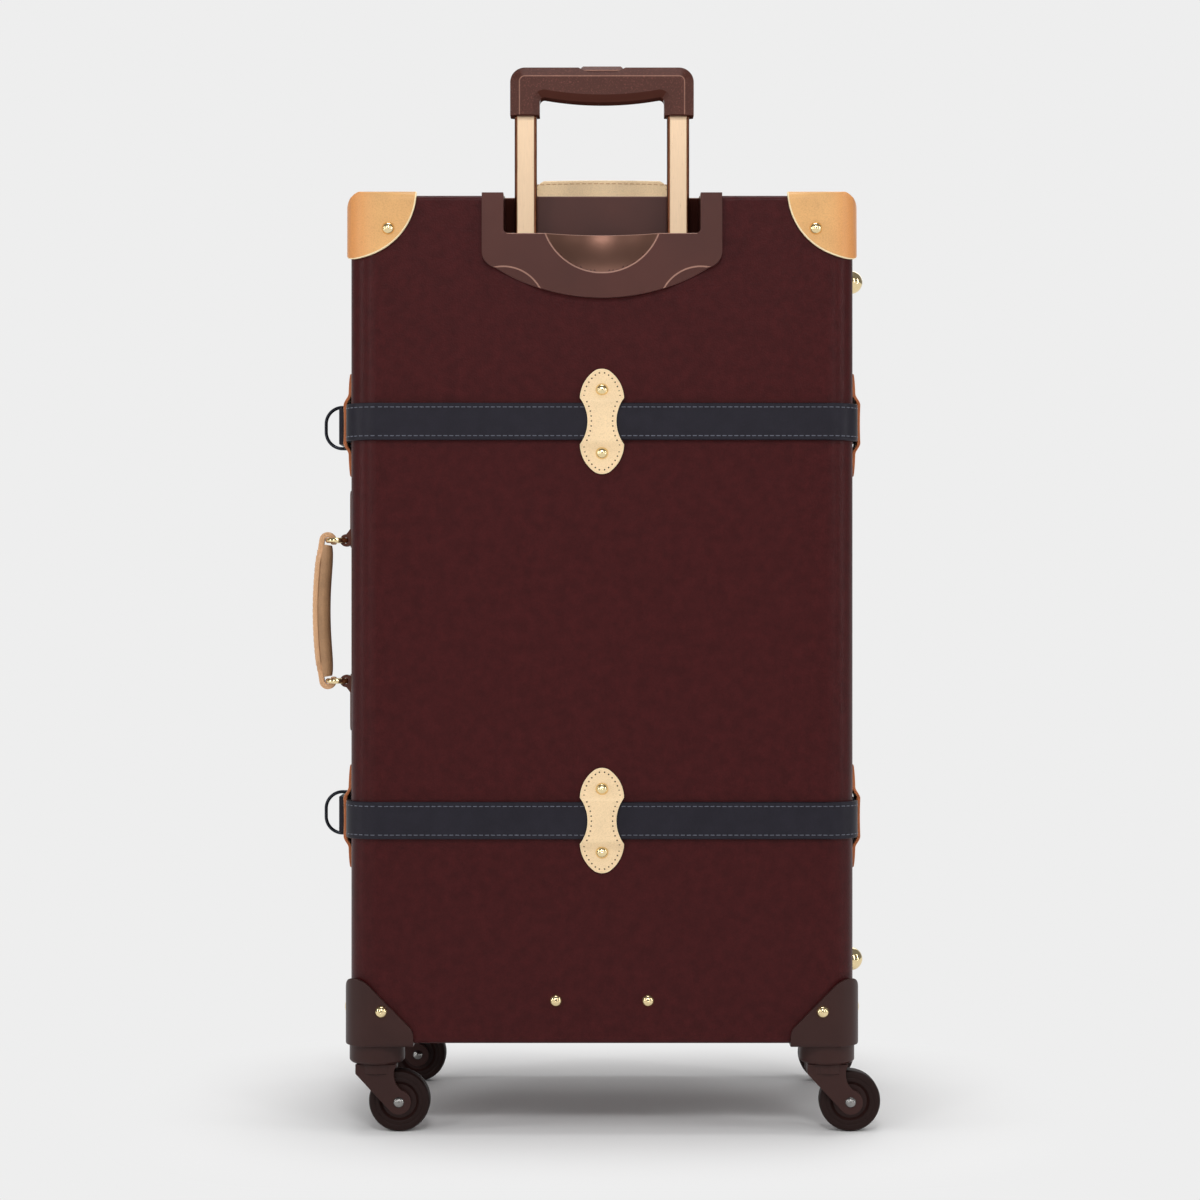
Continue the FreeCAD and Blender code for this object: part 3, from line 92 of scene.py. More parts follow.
# Sizes of the finish
SIDE_SHADE_FROM = 1.2 * EDGE_R  # a cap's painted shade starts, short of the side
SIDE_SHADE_PAST = 2 * MM  # and is full, past the side
STITCH_ROUND = 0.35  # rounding of a stitch, as a share of its thread
MERGE = 0.01 * MM  # points nearer than this are one

# Turns of a surface over an edge, in degrees
FLAT_TURN = 0.5  # none to speak of
MOULDED_TURN = 32  # rounded on mouldings
SHADE_TURN = 35  # shaded sharp
CUT_TURN = 60  # rounded on leather and cloth

# Outward direction and upward direction of the case's faces
FACES = {
    "back": (-OUT, UP),
    "front": (OUT, UP),
    "left": (-ACROSS, UP),
    "right": (ACROSS, UP),
    "top": (UP, ACROSS),
}

# The camera of the photograph
PHOTO_PX = 1200
MM_PER_PX = 0.81  # at the back of the case
CAMERA_AWAY = 2.111  # metres from the back of the case
CAMERA_HIGH = 0.434  # above the floor
CAMERA_SIDE = -0.0016  # off the middle
SENSOR = 36.0  # width, in mm

# Material patterns, in waves to the metre
SPARKS = 1800.0  # spark texture of mouldings
FLAKES = 900.0
CLOUDS = 14.0  # slow change of colour over a moulding
MARKS = 700.0  # marks in metal
THREADS = 180.0
CLOTH_CLOUDS = 6.0
PORES = 2.2  # pores to a pebble of leather


def linear(red, green, blue):
    """Colour of 0 to 255 values as the renderer's linear colour."""
    values = []
    for part in (red, green, blue):
        c = part / 255
        values.append(c / 12.92 if c <= 0.04045 else ((c + 0.055) / 1.055) ** 2.4)
    return tuple(values)


def colour(label, text, value):
    return bpy.props.FloatVectorProperty(
        name=label, description=text, subtype="COLOR", size=3, min=0, max=1, default=value
    )


def length(label, text, value):
    return bpy.props.FloatProperty(
        name=label, description=text, unit="LENGTH", subtype="DISTANCE", default=value, precision=5
    )


class SuitcaseColours(bpy.types.PropertyGroup):
    cover: colour("Cover", "Grained cover of both halves", linear(62, 19, 20))
    strap: colour("Straps", "Navy strap leather", linear(35, 33, 41))
    thread: colour("Strap thread", "Stitching of the straps", linear(92, 95, 108))
    tan: colour("Tan leather", "Corner caps", linear(218, 167, 107))
    # painted shade: the side handle gets a darker tan than the top handle, of the same leather
    handle: colour("Handle leather", "Band of the side handle, and both cores", linear(213, 166, 124))
    # painted shade: darker, redder tan where a cap turns round the side, away from the light
    cap_side_shade: colour("Burnished tan", "Tan leather where it wraps a corner", linear(221, 150, 87))
    # the top handle takes this paler tan as painted light on its lit top
    keeper: colour("Keepers", "Pale tan of the strap keepers and the top handle", linear(237, 208, 166))
    cut: colour("Cut edge", "Pale cut edges of the tan leather", linear(252, 228, 186))
    cut_dark: colour("Dyed edge", "Cut edges of the keepers on the sides", linear(178, 102, 60))
    # painted shade: the dark of the punched holes, drawn as shallow discs
    hole: colour("Punched holes", "Dark ground of the holes in the keepers", linear(48, 30, 20))
    # painted shade: dark leather standing for the shade on the handle tabs
    tab: colour("Handle tabs", "Leather tabs of the handles", linear(88, 44, 30))
    recess: colour("Recess", "Trolley recess", linear(73, 38, 32))
    bowl: colour("Finger scoop", "Sheen of the scoop in the recess", linear(112, 80, 68))
    # painted highlight: a brighter colour on the rims, where their rounding catches the light
    recess_edge: colour("Recess edges", "Polished rims of the recess", linear(146, 108, 94))
    bracket: colour("Brackets", "Corner brackets and forks", linear(54, 31, 28))
    grip: colour("Trolley grip", "Flaked plastic of the grip", linear(74, 42, 35))
    # painted highlight: a brighter colour on the grip's ridges
    grip_edge: colour("Grip ridges", "Bright ridges of the grip", linear(132, 94, 80))
    tyre: colour("Wheels", "Tread and sidewalls", linear(36, 22, 20))
    tube: colour("Tubes", "Anodised trolley tubes", linear(228, 199, 167))
    # painted reflection of the dim room on the tubes' rounded edges
    tube_edge_reflection: colour("Tube edges", "Dark rounded edges of the tubes", linear(104, 62, 42))
    brass: colour("Brass", "Rivets, feet, hinges and latches", linear(238, 216, 168))
    lining: colour("Lining", "Woven lining", linear(170, 140, 108))


class SuitcaseSizes(bpy.types.PropertyGroup):
    stitch: length("Stitch", "Length of a stitch", 3.4 * MM)
    thread: length("Thread", "Thickness of the thread", 0.7 * MM)
    pitch: length("Stitch pitch", "From one stitch to the next", 4.8 * MM)
    inset: length("Stitch inset", "Stitch row from the edge", 3.4 * MM)
    leather_edge: length("Leather edge", "Rounding of cut leather", 0.7 * MM)
    hole: length("Perforation", "Radius of the punched holes", 0.65 * MM)
    hole_pitch: length("Perforation pitch", "From one hole to the next", 3.9 * MM)
    hole_inset: length("Perforation inset", "Row of holes from the keeper's edge", 3.2 * MM)


def tones():
    return bpy.context.scene.suitcase_colours


def sizes():
    return bpy.context.scene.suitcase_sizes


# Materials


def new_material(name):
    made = bpy.data.materials.new(name)
    made.use_nodes = True
    return made, made.node_tree, made.node_tree.nodes["Principled BSDF"]


def feed(tree, node, inputs):
    """Give inputs, by name or as i and a number, a constant or another node's output."""
    for key, value in inputs.items():
        numbered = key[0] == "i" and key[1:].isdigit()
        socket = node.inputs[int(key[1:])] if numbered else node.inputs[key]
        if isinstance(value, bpy.types.NodeSocket):
            tree.links.new(value, socket)
        else:
            socket.default_value = value


def put(tree, kind, options=None, **inputs):
    """Add a node with its options and inputs."""
    node = tree.nodes.new(kind)
    for key, value in (options or {}).items():
        setattr(node, key, value)
    feed(tree, node, inputs)
    return node


def object_place(tree):
    return put(tree, "ShaderNodeTexCoord").outputs["Object"]


def noise(tree, place, scale, detail=3.0, rough=0.55):
    made = put(tree, "ShaderNodeTexNoise", Vector=place, Scale=scale, Detail=detail, Roughness=rough)
    return made.outputs[0]


def around(tree, pattern, middle, change):
    """Spread a 0 to 1 pattern evenly about a middle value."""
    return put(tree, "ShaderNodeMapRange", i0=pattern, i3=middle - change, i4=middle + change).outputs[0]


def smooth_step(tree, value, start, end, low=0.0, high=1.0):
    """Rise smoothly from low to high between two places."""
    options = {"interpolation_type": "SMOOTHSTEP"}
    made = put(tree, "ShaderNodeMapRange", options, i0=value, i1=start, i2=end, i3=low, i4=high)
    return made.outputs[0]


def shades(tree, factor, dark, light, middle=(0.35, 0.65)):
    ramp = put(tree, "ShaderNodeValToRGB", i0=factor)
    for stop, shade, at in zip(ramp.color_ramp.elements, (dark, light), middle):
        stop.position = at
        stop.color = (*shade, 1)
    return ramp.outputs[0]


def mixed(tree, blend, factor, first, second):
    options = {"data_type": "RGBA", "blend_type": blend}
    return put(tree, "ShaderNodeMix", options, i0=factor, i6=first, i7=second).outputs[2]


def maths(tree, operation, *values):
    inputs = {f"i{number}": value for number, value in enumerate(values)}
    return put(tree, "ShaderNodeMath", {"operation": operation}, **inputs).outputs[0]


def tone(base, factor):
    return tuple(min(1.0, c * factor) for c in base)


def varied(tree, pattern, base, change):
    """Colour that a pattern makes a share darker or lighter."""
    return shades(tree, pattern, tone(base, 1 - change), tone(base, 1 + change))


def bump(tree, height, distance, strength=1.0, under=None):
    node = put(tree, "ShaderNodeBump", Height=height, Distance=distance, Strength=strength)
    if under is not None:
        tree.links.new(under, node.inputs["Normal"])
    return node.outputs[0]


def leather(name, base, pebble, depth, rough, change=0.1, drift=70.0, gloss=0.3, side_shade=None):
    """Grained leather: pebbles, fine pores, and colour that drifts over the hide."""
    made, tree, shader = new_material(name)
    place = object_place(tree)
    smooth = {"feature": "SMOOTH_F1"}
    cells = put(tree, "ShaderNodeTexVoronoi", smooth, Vector=place, Scale=1 / pebble).outputs[0]
    pores = noise(tree, place, PORES / pebble, detail=4.0, rough=0.7)
    tint = varied(tree, noise(tree, place, drift, detail=6.0, rough=0.65), base, change)
    # where asked, painted shade darkens the leather towards the sides of the case
    if side_shade:
        tint = side_shaded(tree, place, tint, side_shade)
    # painted shade in the grooves between the pebbles, multiplied into the colour
    groove_shade = shades(tree, cells, (1, 1, 1), (0.62, 0.62, 0.62), middle=(0.25, 0.75))
    fine = bump(tree, pores, depth / 2, strength=0.6)
    feed(tree, shader, {
        "Base Color": mixed(tree, "MULTIPLY", 0.35, tint, groove_shade),
        "Roughness": around(tree, pores, rough, 0.1),
        "Normal": bump(tree, cells, depth, strength=0.8, under=fine),
        "Specular IOR Level": gloss,
    })
    return made


def side_shaded(tree, place, tint, side_shade):
    """Painted shade: darker, redder leather towards the sides of the case, where a cap is pulled round, away from
    the light.
    """
    split = put(tree, "ShaderNodeSeparateXYZ", Vector=place)
    away = maths(tree, "ABSOLUTE", split.outputs["X"])
    near = smooth_step(tree, away, SIDE - SIDE_SHADE_FROM, SIDE + SIDE_SHADE_PAST)
    return mixed(tree, "MIX", near, tint, (*side_shade, 1))


def moulded(name, base, rough, flake=0.0, gloss=0.3, metallic=0.0, grain=0.08 * MM):
    """Moulded plastic with a fine spark texture, with flakes or a metallic sheen where asked."""
    made, tree, shader = new_material(name)
    place = object_place(tree)
    sparks = noise(tree, place, SPARKS, detail=2.0, rough=0.6)
    tint = varied(tree, noise(tree, place, CLOUDS), base, 0.1)
    if flake:
        specks = noise(tree, place, FLAKES, detail=2.0, rough=0.8)
        glints = shades(tree, specks, (0, 0, 0), tone(base, flake), middle=(0.56, 0.75))
        tint = mixed(tree, "ADD", 1.0, tint, glints)
    feed(tree, shader, {
        "Base Color": tint,
        "Roughness": around(tree, sparks, rough, 0.08),
        "Normal": bump(tree, sparks, grain, strength=0.5),
        "Metallic": metallic,
        "Specular IOR Level": gloss,
    })
    return made


def metal(name, base, rough, stretch=(1, 1, 1), change=0.1, edge=None):
    """Metal with fine marks, drawn out along one axis where it is brushed."""
    made, tree, shader = new_material(name)
    place = object_place(tree)
    mapped = put(tree, "ShaderNodeMapping", Vector=place, Scale=stretch).outputs[0]
    marks = noise(tree, mapped, MARKS, detail=3.0, rough=0.6)
    tint = varied(tree, marks, base, change)
    # where asked, a painted reflection darkens the rounded edges
    if edge:
        tint = painted_edge_reflection(tree, place, tint, edge)
    feed(tree, shader, {
        "Base Color": tint,
        "Roughness": around(tree, marks, rough, 0.06),
        "Normal": bump(tree, marks, 0.03 * MM, strength=0.4),
        "Metallic": 1.0,
    })
    return made


def painted_edge_reflection(tree, place, tint, edge):
    """Painted reflection of the dim room: darker metal on the rounded edges of both tubes."""
    x = put(tree, "ShaderNodeSeparateXYZ", Vector=place).outputs["X"]
    for middle in (0.0, TUBE_X):
        x = maths(tree, "ABSOLUTE", maths(tree, "SUBTRACT", x, middle))
    near = put(tree, "ShaderNodeMapRange", i0=x, i1=TUBE_FLAT, i2=TUBE_FLAT + TUBE_BLEND).outputs[0]
    return mixed(tree, "MIX", near, tint, (*edge, 1))


def woven(name, base):
    """Plain weave from two crossed sets of threads."""
    made, tree, shader = new_material(name)
    place = object_place(tree)
    threads = []
    for axis in ("X", "Z"):
        along = {"bands_direction": axis}
        wave = put(tree, "ShaderNodeTexWave", along, Vector=place, Scale=THREADS, Distortion=0.4)
        threads.append(wave.outputs["Fac"])
    cross = maths(tree, "MAXIMUM", *threads)
    tint = shades(tree, noise(tree, place, CLOTH_CLOUDS), tone(base, 0.86), tone(base, 1.08))
    # painted shade in the gaps between the threads
    gap_shade = shades(tree, cross, (0.6, 0.6, 0.6), (1, 1, 1), middle=(0.1, 0.9))
    feed(tree, shader, {
        "Base Color": mixed(tree, "MULTIPLY", 0.5, tint, gap_shade),
        "Normal": bump(tree, cross, 0.2 * MM, strength=0.6),
        "Roughness": 0.85,
        "Sheen Weight": 0.25,
    })
    return made


def make_materials():
    use = tones()
    brushed = (6, 6, 0.15)  # marks drawn out along the tubes
    # After the colour come a leather's pebble, depth, rough, change, drift and gloss, a moulding's
    # rough, flake, gloss and metallic, and a metal's rough, stretch and change
    return {
        "cover": leather("cover_leatherette", use.cover, 1.3 * MM, 0.16 * MM, 0.36, 0.16, 110.0, 0.12),
        "strap": leather("strap_leather", use.strap, 0.9 * MM, 0.06 * MM, 0.42, 0.1, 60.0, 0.14),
        # the cap's last colour is its painted shade towards the sides
        "cap": leather("cap_leather", use.tan, 0.8 * MM, 0.03 * MM, 0.42, 0.07, 25.0, 0.35, use.cap_side_shade),
        "handle": leather("shaded_handle_leather", use.handle, 0.8 * MM, 0.03 * MM, 0.42, 0.07, 25.0, 0.35),
        "keeper": leather("keeper_leather", use.keeper, 0.8 * MM, 0.03 * MM, 0.45, 0.05, 25.0, 0.3),
        "cut": leather("cut_leather_edge", use.cut, 0.5 * MM, 0.06 * MM, 0.7, 0.08),
        "cut_dark": leather("dyed_leather_edge", use.cut_dark, 0.5 * MM, 0.06 * MM, 0.6, 0.14),
        # painted shade: the handle leather darkened for the core under the band
        "core": leather("shaded_core_leather", tone(use.handle, 0.75), 0.8 * MM, 0.05 * MM, 0.5, 0.1, 60.0, 0.3),
        "tab": leather("shaded_tab_leather", use.tab, 0.9 * MM, 0.08 * MM, 0.45),
        "hole": leather("punched_hole_shade", use.hole, 0.4 * MM, 0.05 * MM, 0.8),
        "thread": woven("strap_thread", use.thread),
        "tan_thread": woven("tan_thread", tone(use.handle, 0.8)),
        "recess": moulded("moulded_recess", use.recess, 0.34),
        "recess_edge": moulded("painted_rim_highlight", use.recess_edge, 0.34),
        "bowl": moulded("finger_scoop", use.bowl, 0.34, metallic=0.8, grain=0.02 * MM),
        # painted shade: recess colour darkened in the deep slots beside the tubes
        "slot": moulded("tube_slot_shade", tone(use.recess, 0.6), 0.8, gloss=0.0),
        "bracket": moulded("moulded_bracket", use.bracket, 0.4, gloss=0.2),
        "grip": moulded("flaked_grip", use.grip, 0.4, 1.6, 0.2, 0.2),
        "grip_edge": moulded("painted_ridge_highlight", use.grip_edge, 0.4, 0.6, 0.2, 0.2),
        "grip_under": moulded("matte_grip", use.grip, 0.8, gloss=0.0),
        "tyre": moulded("wheel_tread", use.tyre, 0.5, gloss=0.12),
        "hub": moulded("wheel_hub", tone(use.bracket, 0.7), 0.4, gloss=0.2),
        "brass": metal("polished_brass", use.brass, 0.12, change=0.04),
        "steel": metal("plated_steel", linear(150, 148, 146), 0.25),
        "black": metal("black_polish", linear(46, 48, 54), 0.2),
        # the tubes' last colour is the painted dark reflection on their rounded edges
        "tube": metal("gold_tube", use.tube, 0.3, brushed, 0.04, use.tube_edge_reflection),
        "guide": metal("drawn_aluminium", linear(180, 180, 182), 0.4, brushed),
        "lining": woven("lining_cloth", use.lining),
    }


MATERIALS = {}


# Mesh helpers


def mesh_of(name, bm):
    mesh = bpy.data.meshes.new(name)
    bm.to_mesh(mesh)
    bm.free()
    return mesh


def new_object(name, data):
    made = bpy.data.objects.new(name, data)
    bpy.context.scene.collection.objects.link(made)
    return made


def finish_mesh(name, bm, node, materials):
    """Turn a bmesh into a piece that rides with a node of the frame."""
    mesh = mesh_of(name, bm)
    piece = new_object(name, mesh)
    for key in materials:
        mesh.materials.append(MATERIALS[key])
    mesh.polygons.foreach_set("use_smooth", [True] * len(mesh.polygons))
    mesh.set_sharp_from_angle(angle=math.radians(SHADE_TURN))
    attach(piece, NODE_BODY[node])
    return piece


def stand_for(node, suffix, bm, materials):
    """Finish a piece that takes a node's place, its flat faces shaded flat up to their rounded edges."""
    piece = finish_mesh(node + suffix, bm, node, materials)
    piece.modifiers.new("flat_faces", "WEIGHTED_NORMAL").keep_sharp = True
    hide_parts(node)


def sharp_edges(bm, degrees):
    limit = math.radians(degrees)
    return [e for e in bm.edges if len(e.link_faces) == 2 and e.calc_face_angle(0) > limit]


def soften(bm, edges, width, steps=3, held=True, finish=-1):
    """Round edges; held back where they meet, unless the piece has room for the whole width."""
    bmesh.ops.bevel(
        bm, geom=edges, offset=width, offset_type="OFFSET", segments=steps, profile=0.5,
        affect="EDGES", clamp_overlap=held, material=finish,
    )


def node_copy(node):
    """Merged copy of a node's solids, with flat faces joined."""
    bm = bmesh.new()
    bm.from_mesh(frame["nodes"][node].data)
    bmesh.ops.remove_doubles(bm, verts=bm.verts, dist=MERGE)
    bmesh.ops.dissolve_limit(
        bm, angle_limit=math.radians(FLAT_TURN), verts=bm.verts, edges=bm.edges, delimit={"NORMAL"}
    )
    return bm


def add_part(bm, part):
    """Move the geometry of one bmesh into another."""
    mesh = mesh_of("part", part)
    bm.from_mesh(mesh)
    bpy.data.meshes.remove(mesh)


def end_face(geom):
    return next(g for g in geom if isinstance(g, bmesh.types.BMFace))


def face_turn(face, origin):
    """Matrix from (sideways, outward, up) on a face of the case to the frame."""
    out, up = FACES[face]
    turn = Matrix((out.cross(up), out, up)).transposed().to_4x4()
    return Matrix.Translation(origin) @ turn


def ease(value, start, end):
    """Smooth step from 0 to 1 between two places."""
    t = min(1, max(0, (value - start) / (end - start)))
    return t * t * (3 - 2 * t)


def strap_profile(bm, start, across, out, thick, wide):
    """Rectangle of strap at its start, ready to be run along its way."""
    corners = [(-wide / 2, 0), (wide / 2, 0), (wide / 2, thick), (-wide / 2, thick)]
    return bm.faces.new([bm.verts.new(start + across * a + out * o) for a, o in corners])


def run_on(bm, face, way):
    """Extrude the end of a strip along a straight run; gives the new end."""
    made = bmesh.ops.extrude_face_region(bm, geom=[face])
    verts = [v for v in made["geom"] if isinstance(v, bmesh.types.BMVert)]
    bmesh.ops.translate(bm, verts=verts, vec=way)
    return end_face(made["geom"])


def turn_on(bm, face, centre, axis, angle, steps):
    """Spin the end of a strip round a bend; gives the new end."""
    made = bmesh.ops.spin(
        bm, geom=[face] + list(face.edges) + list(face.verts), cent=centre, axis=axis, angle=angle,
        steps=steps, use_duplicate=False,
    )
    return end_face(made["geom_last"])


def stitch_shape(bm, place, size):
    """One stitch: a short rounded bar, half sunk in the leather."""
    made = bmesh.ops.create_cube(bm, size=1.0, matrix=place @ Matrix.Diagonal((*size, 1)))
    edges = {e for v in made["verts"] for e in v.link_edges}
    soften(bm, list(edges), min(size) * STITCH_ROUND, steps=1)


class SUITCASE_OT_hard_parts(bpy.types.Operator):
    """Give the frame's rigid nodes their finishes"""

    bl_idname = "suitcase.hard_parts"
    bl_label = "Finish rigid parts"

    finishes = {
        "cover": ["tray_shell", "lid_shell"],
        "bracket": ["tray_rim", "lid_rim", "trolley_foot_bracket", "tube_sliders"],
        "brass": [
            "trolley_foot_screws", "tray_rivets", "lid_rivets", "side_feet_back", "side_feet_front",
            "hinge_leaves_tray", "hinge_leaves_lid", "side_handle_rings", "top_handle_rings",
        ],
        "steel": ["swivel_pins_back", "swivel_pins_front", "hinge_pins", "release_yoke"],
        "black": ["d_ring_upper", "d_ring_lower"],
        "tube": ["trolley_tubes"],
        "guide": ["guide_tubes"],
    }

    def execute(self, context):
        MATERIALS.update(make_materials())
        by_node = {node: key for key, nodes in self.finishes.items() for node in nodes}
        by_node.update({"axle_" + spot: "steel" for spot in SPOTS})
        for node, key in by_node.items():
            mesh = frame["nodes"][node].data
            mesh.materials.clear()
            mesh.materials.append(MATERIALS[key])
        return {"FINISHED"}


class SUITCASE_OT_mouldings(bpy.types.Operator):
    """Brackets, forks and latches with their moulded edge rounding"""

    bl_idname = "suitcase.mouldings"
    bl_label = "Rounded mouldings"

    # Node, its finish and the rounding of its edges
    rounded = [
        ("latch_cases", "brass", 0.5 * MM),
        ("latch_tongues", "brass", 0.4 * MM),
        ("latch_button_upper", "brass", 0.4 * MM),
        ("latch_button_lower", "brass", 0.4 * MM),
    ]
    caster_edge = 0.6 * MM  # rounding of brackets and forks

    def execute(self, context):
        nodes = list(self.rounded)
        for spot in SPOTS:
            for name in ("wheel_bracket_", "fork_"):
                nodes.append((name + spot, "bracket", self.caster_edge))
        for node, key, width in nodes:
            bm = node_copy(node)
            soften(bm, sharp_edges(bm, MOULDED_TURN), width, held=False)
            stand_for(node, "_moulded", bm, [key])
        return {"FINISHED"}


class SUITCASE_OT_grip(bpy.types.Operator):
    """Trolley grip and its button, with painted highlights on its ridges and a matte underside"""

    bl_idname = "suitcase.grip"
    bl_label = "Trolley grip"

    ridges = {"trolley_grip": (25, 35), "release_button": (30, 42)}  # turn over a ridge, in degrees
    ridge = 0.5 * MM  # rounding of the ridges
    edge = 0.4 * MM  # rounding of the other edges
    underside = -0.5  # most z of the normals of faces that look down
    finishes = ["grip", "grip_under", "grip_edge"]

    def execute(self, context):
        for node, (least, most) in self.ridges.items():
            bm = node_copy(node)
            sharper = set(sharp_edges(bm, most))
            ridges = [e for e in sharp_edges(bm, least) if e not in sharper]
            # the ridges take the brighter colour of the painted highlight
            soften(bm, ridges, self.ridge, held=False, finish=self.finishes.index("grip_edge"))
            soften(bm, sharp_edges(bm, most), self.edge)
            bm.normal_update()
            for f in bm.faces:
                if f.normal.z < self.underside:
                    f.material_index = self.finishes.index("grip_under")
            stand_for(node, "_moulded", bm, self.finishes)
        return {"FINISHED"}


class SUITCASE_OT_recess(bpy.types.Operator):
    """Trolley recess with painted highlights on the rims round its scoop, ledge and crescents"""

    bl_idname = "suitcase.recess"
    bl_label = "Trolley recess"

    node = "trolley_recess"
    rim = 0.65 * MM  # rounding of the rims, which carry a painted highlight
    deep = 10 * MM  # everything farther in than this is the pocket
    edge = 0.6 * MM  # rounding of the other edges
    ledge_drop = 31.3 * MM  # ledge below the case top
    slot = 10.5 * MM  # from the inner end of the recess to the mouths of its deep slots
    rim_turn = 8  # least turn over a rim, in degrees
    open_y = -0.05  # most y of the normals of faces that open outwards
    upright_y = -0.5  # most y of the normals of upright faces
    level_z = 0.9  # least z of the normals of level faces
    finishes = ["recess", "recess_edge", "bowl", "slot"]

    def is_rim(self, e, front, ledge):
        """Edges where the front turns into a hollow, and upper edges of the ledge and the pocket."""
        deep = min(v.co.y for v in e.verts) - front
        level = max(abs(v.co.z - ledge) for v in e.verts) < self.edge
        steep = min(f.normal.y for f in e.link_faces)
        flat = max(f.normal.z for f in e.link_faces)
        onto = max(f.normal.y for f in e.link_faces)
        upper = flat > self.level_z and steep < self.upright_y and (level or deep > self.deep)
        return upper or (abs(deep) < self.edge and onto < self.open_y)

    def execute(self, context):
        bm = node_copy(self.node)
        low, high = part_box(self.node)
        ledge = TOP - self.ledge_drop
        bowl = self.finishes.index("bowl")
        for f in bm.faces:
            spot = f.calc_center_median()
            hollow = f.normal.y < self.open_y and spot.y > low.y + self.edge
            # faces deep in the slots take the painted shade
            if spot.y > high.y - self.slot:
                f.material_index = self.finishes.index("slot")
            elif hollow and f.normal.z > 0:
                f.material_index = bowl
        inside = [e for e in bm.edges if all(f.material_index == bowl for f in e.link_faces)]
        bmesh.ops.dissolve_degenerate(bm, dist=self.rim, edges=inside)
        rims = [e for e in sharp_edges(bm, self.rim_turn) if self.is_rim(e, low.y, ledge)]
        # the rims take the brighter colour of the painted highlight
        soften(bm, rims, self.rim, held=False, finish=self.finishes.index("recess_edge"))
        soften(bm, sharp_edges(bm, MOULDED_TURN), self.edge)
        stand_for(self.node, "_moulded", bm, self.finishes)
        return {"FINISHED"}


class SUITCASE_OT_corner_caps(bpy.types.Operator):
    """Tan caps over the upper corners, with rounded pale cut edges"""

    bl_idname = "suitcase.corner_caps"
    bl_label = "Corner caps"

    cut = 1.0 * MM  # rounding of the cut edge, and its reach from the cap's sphere

    def execute(self, context):
        for half, y in (("back", BACK), ("front", FRONT)):
            node = "corner_caps_" + half
            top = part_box(node)[1].z
            bm = node_copy(node)
            soften(bm, sharp_edges(bm, CUT_TURN), self.cut, held=False)
            for f in bm.faces:
                spot = f.calc_center_median()
                corner = Vector((math.copysign(SIDE, spot.x), y, top))
                f.material_index = int(abs((spot - corner).length - CAP_R) < self.cut)
            stand_for(node, "_leather", bm, ["cap", "cut"])
        return {"FINISHED"}


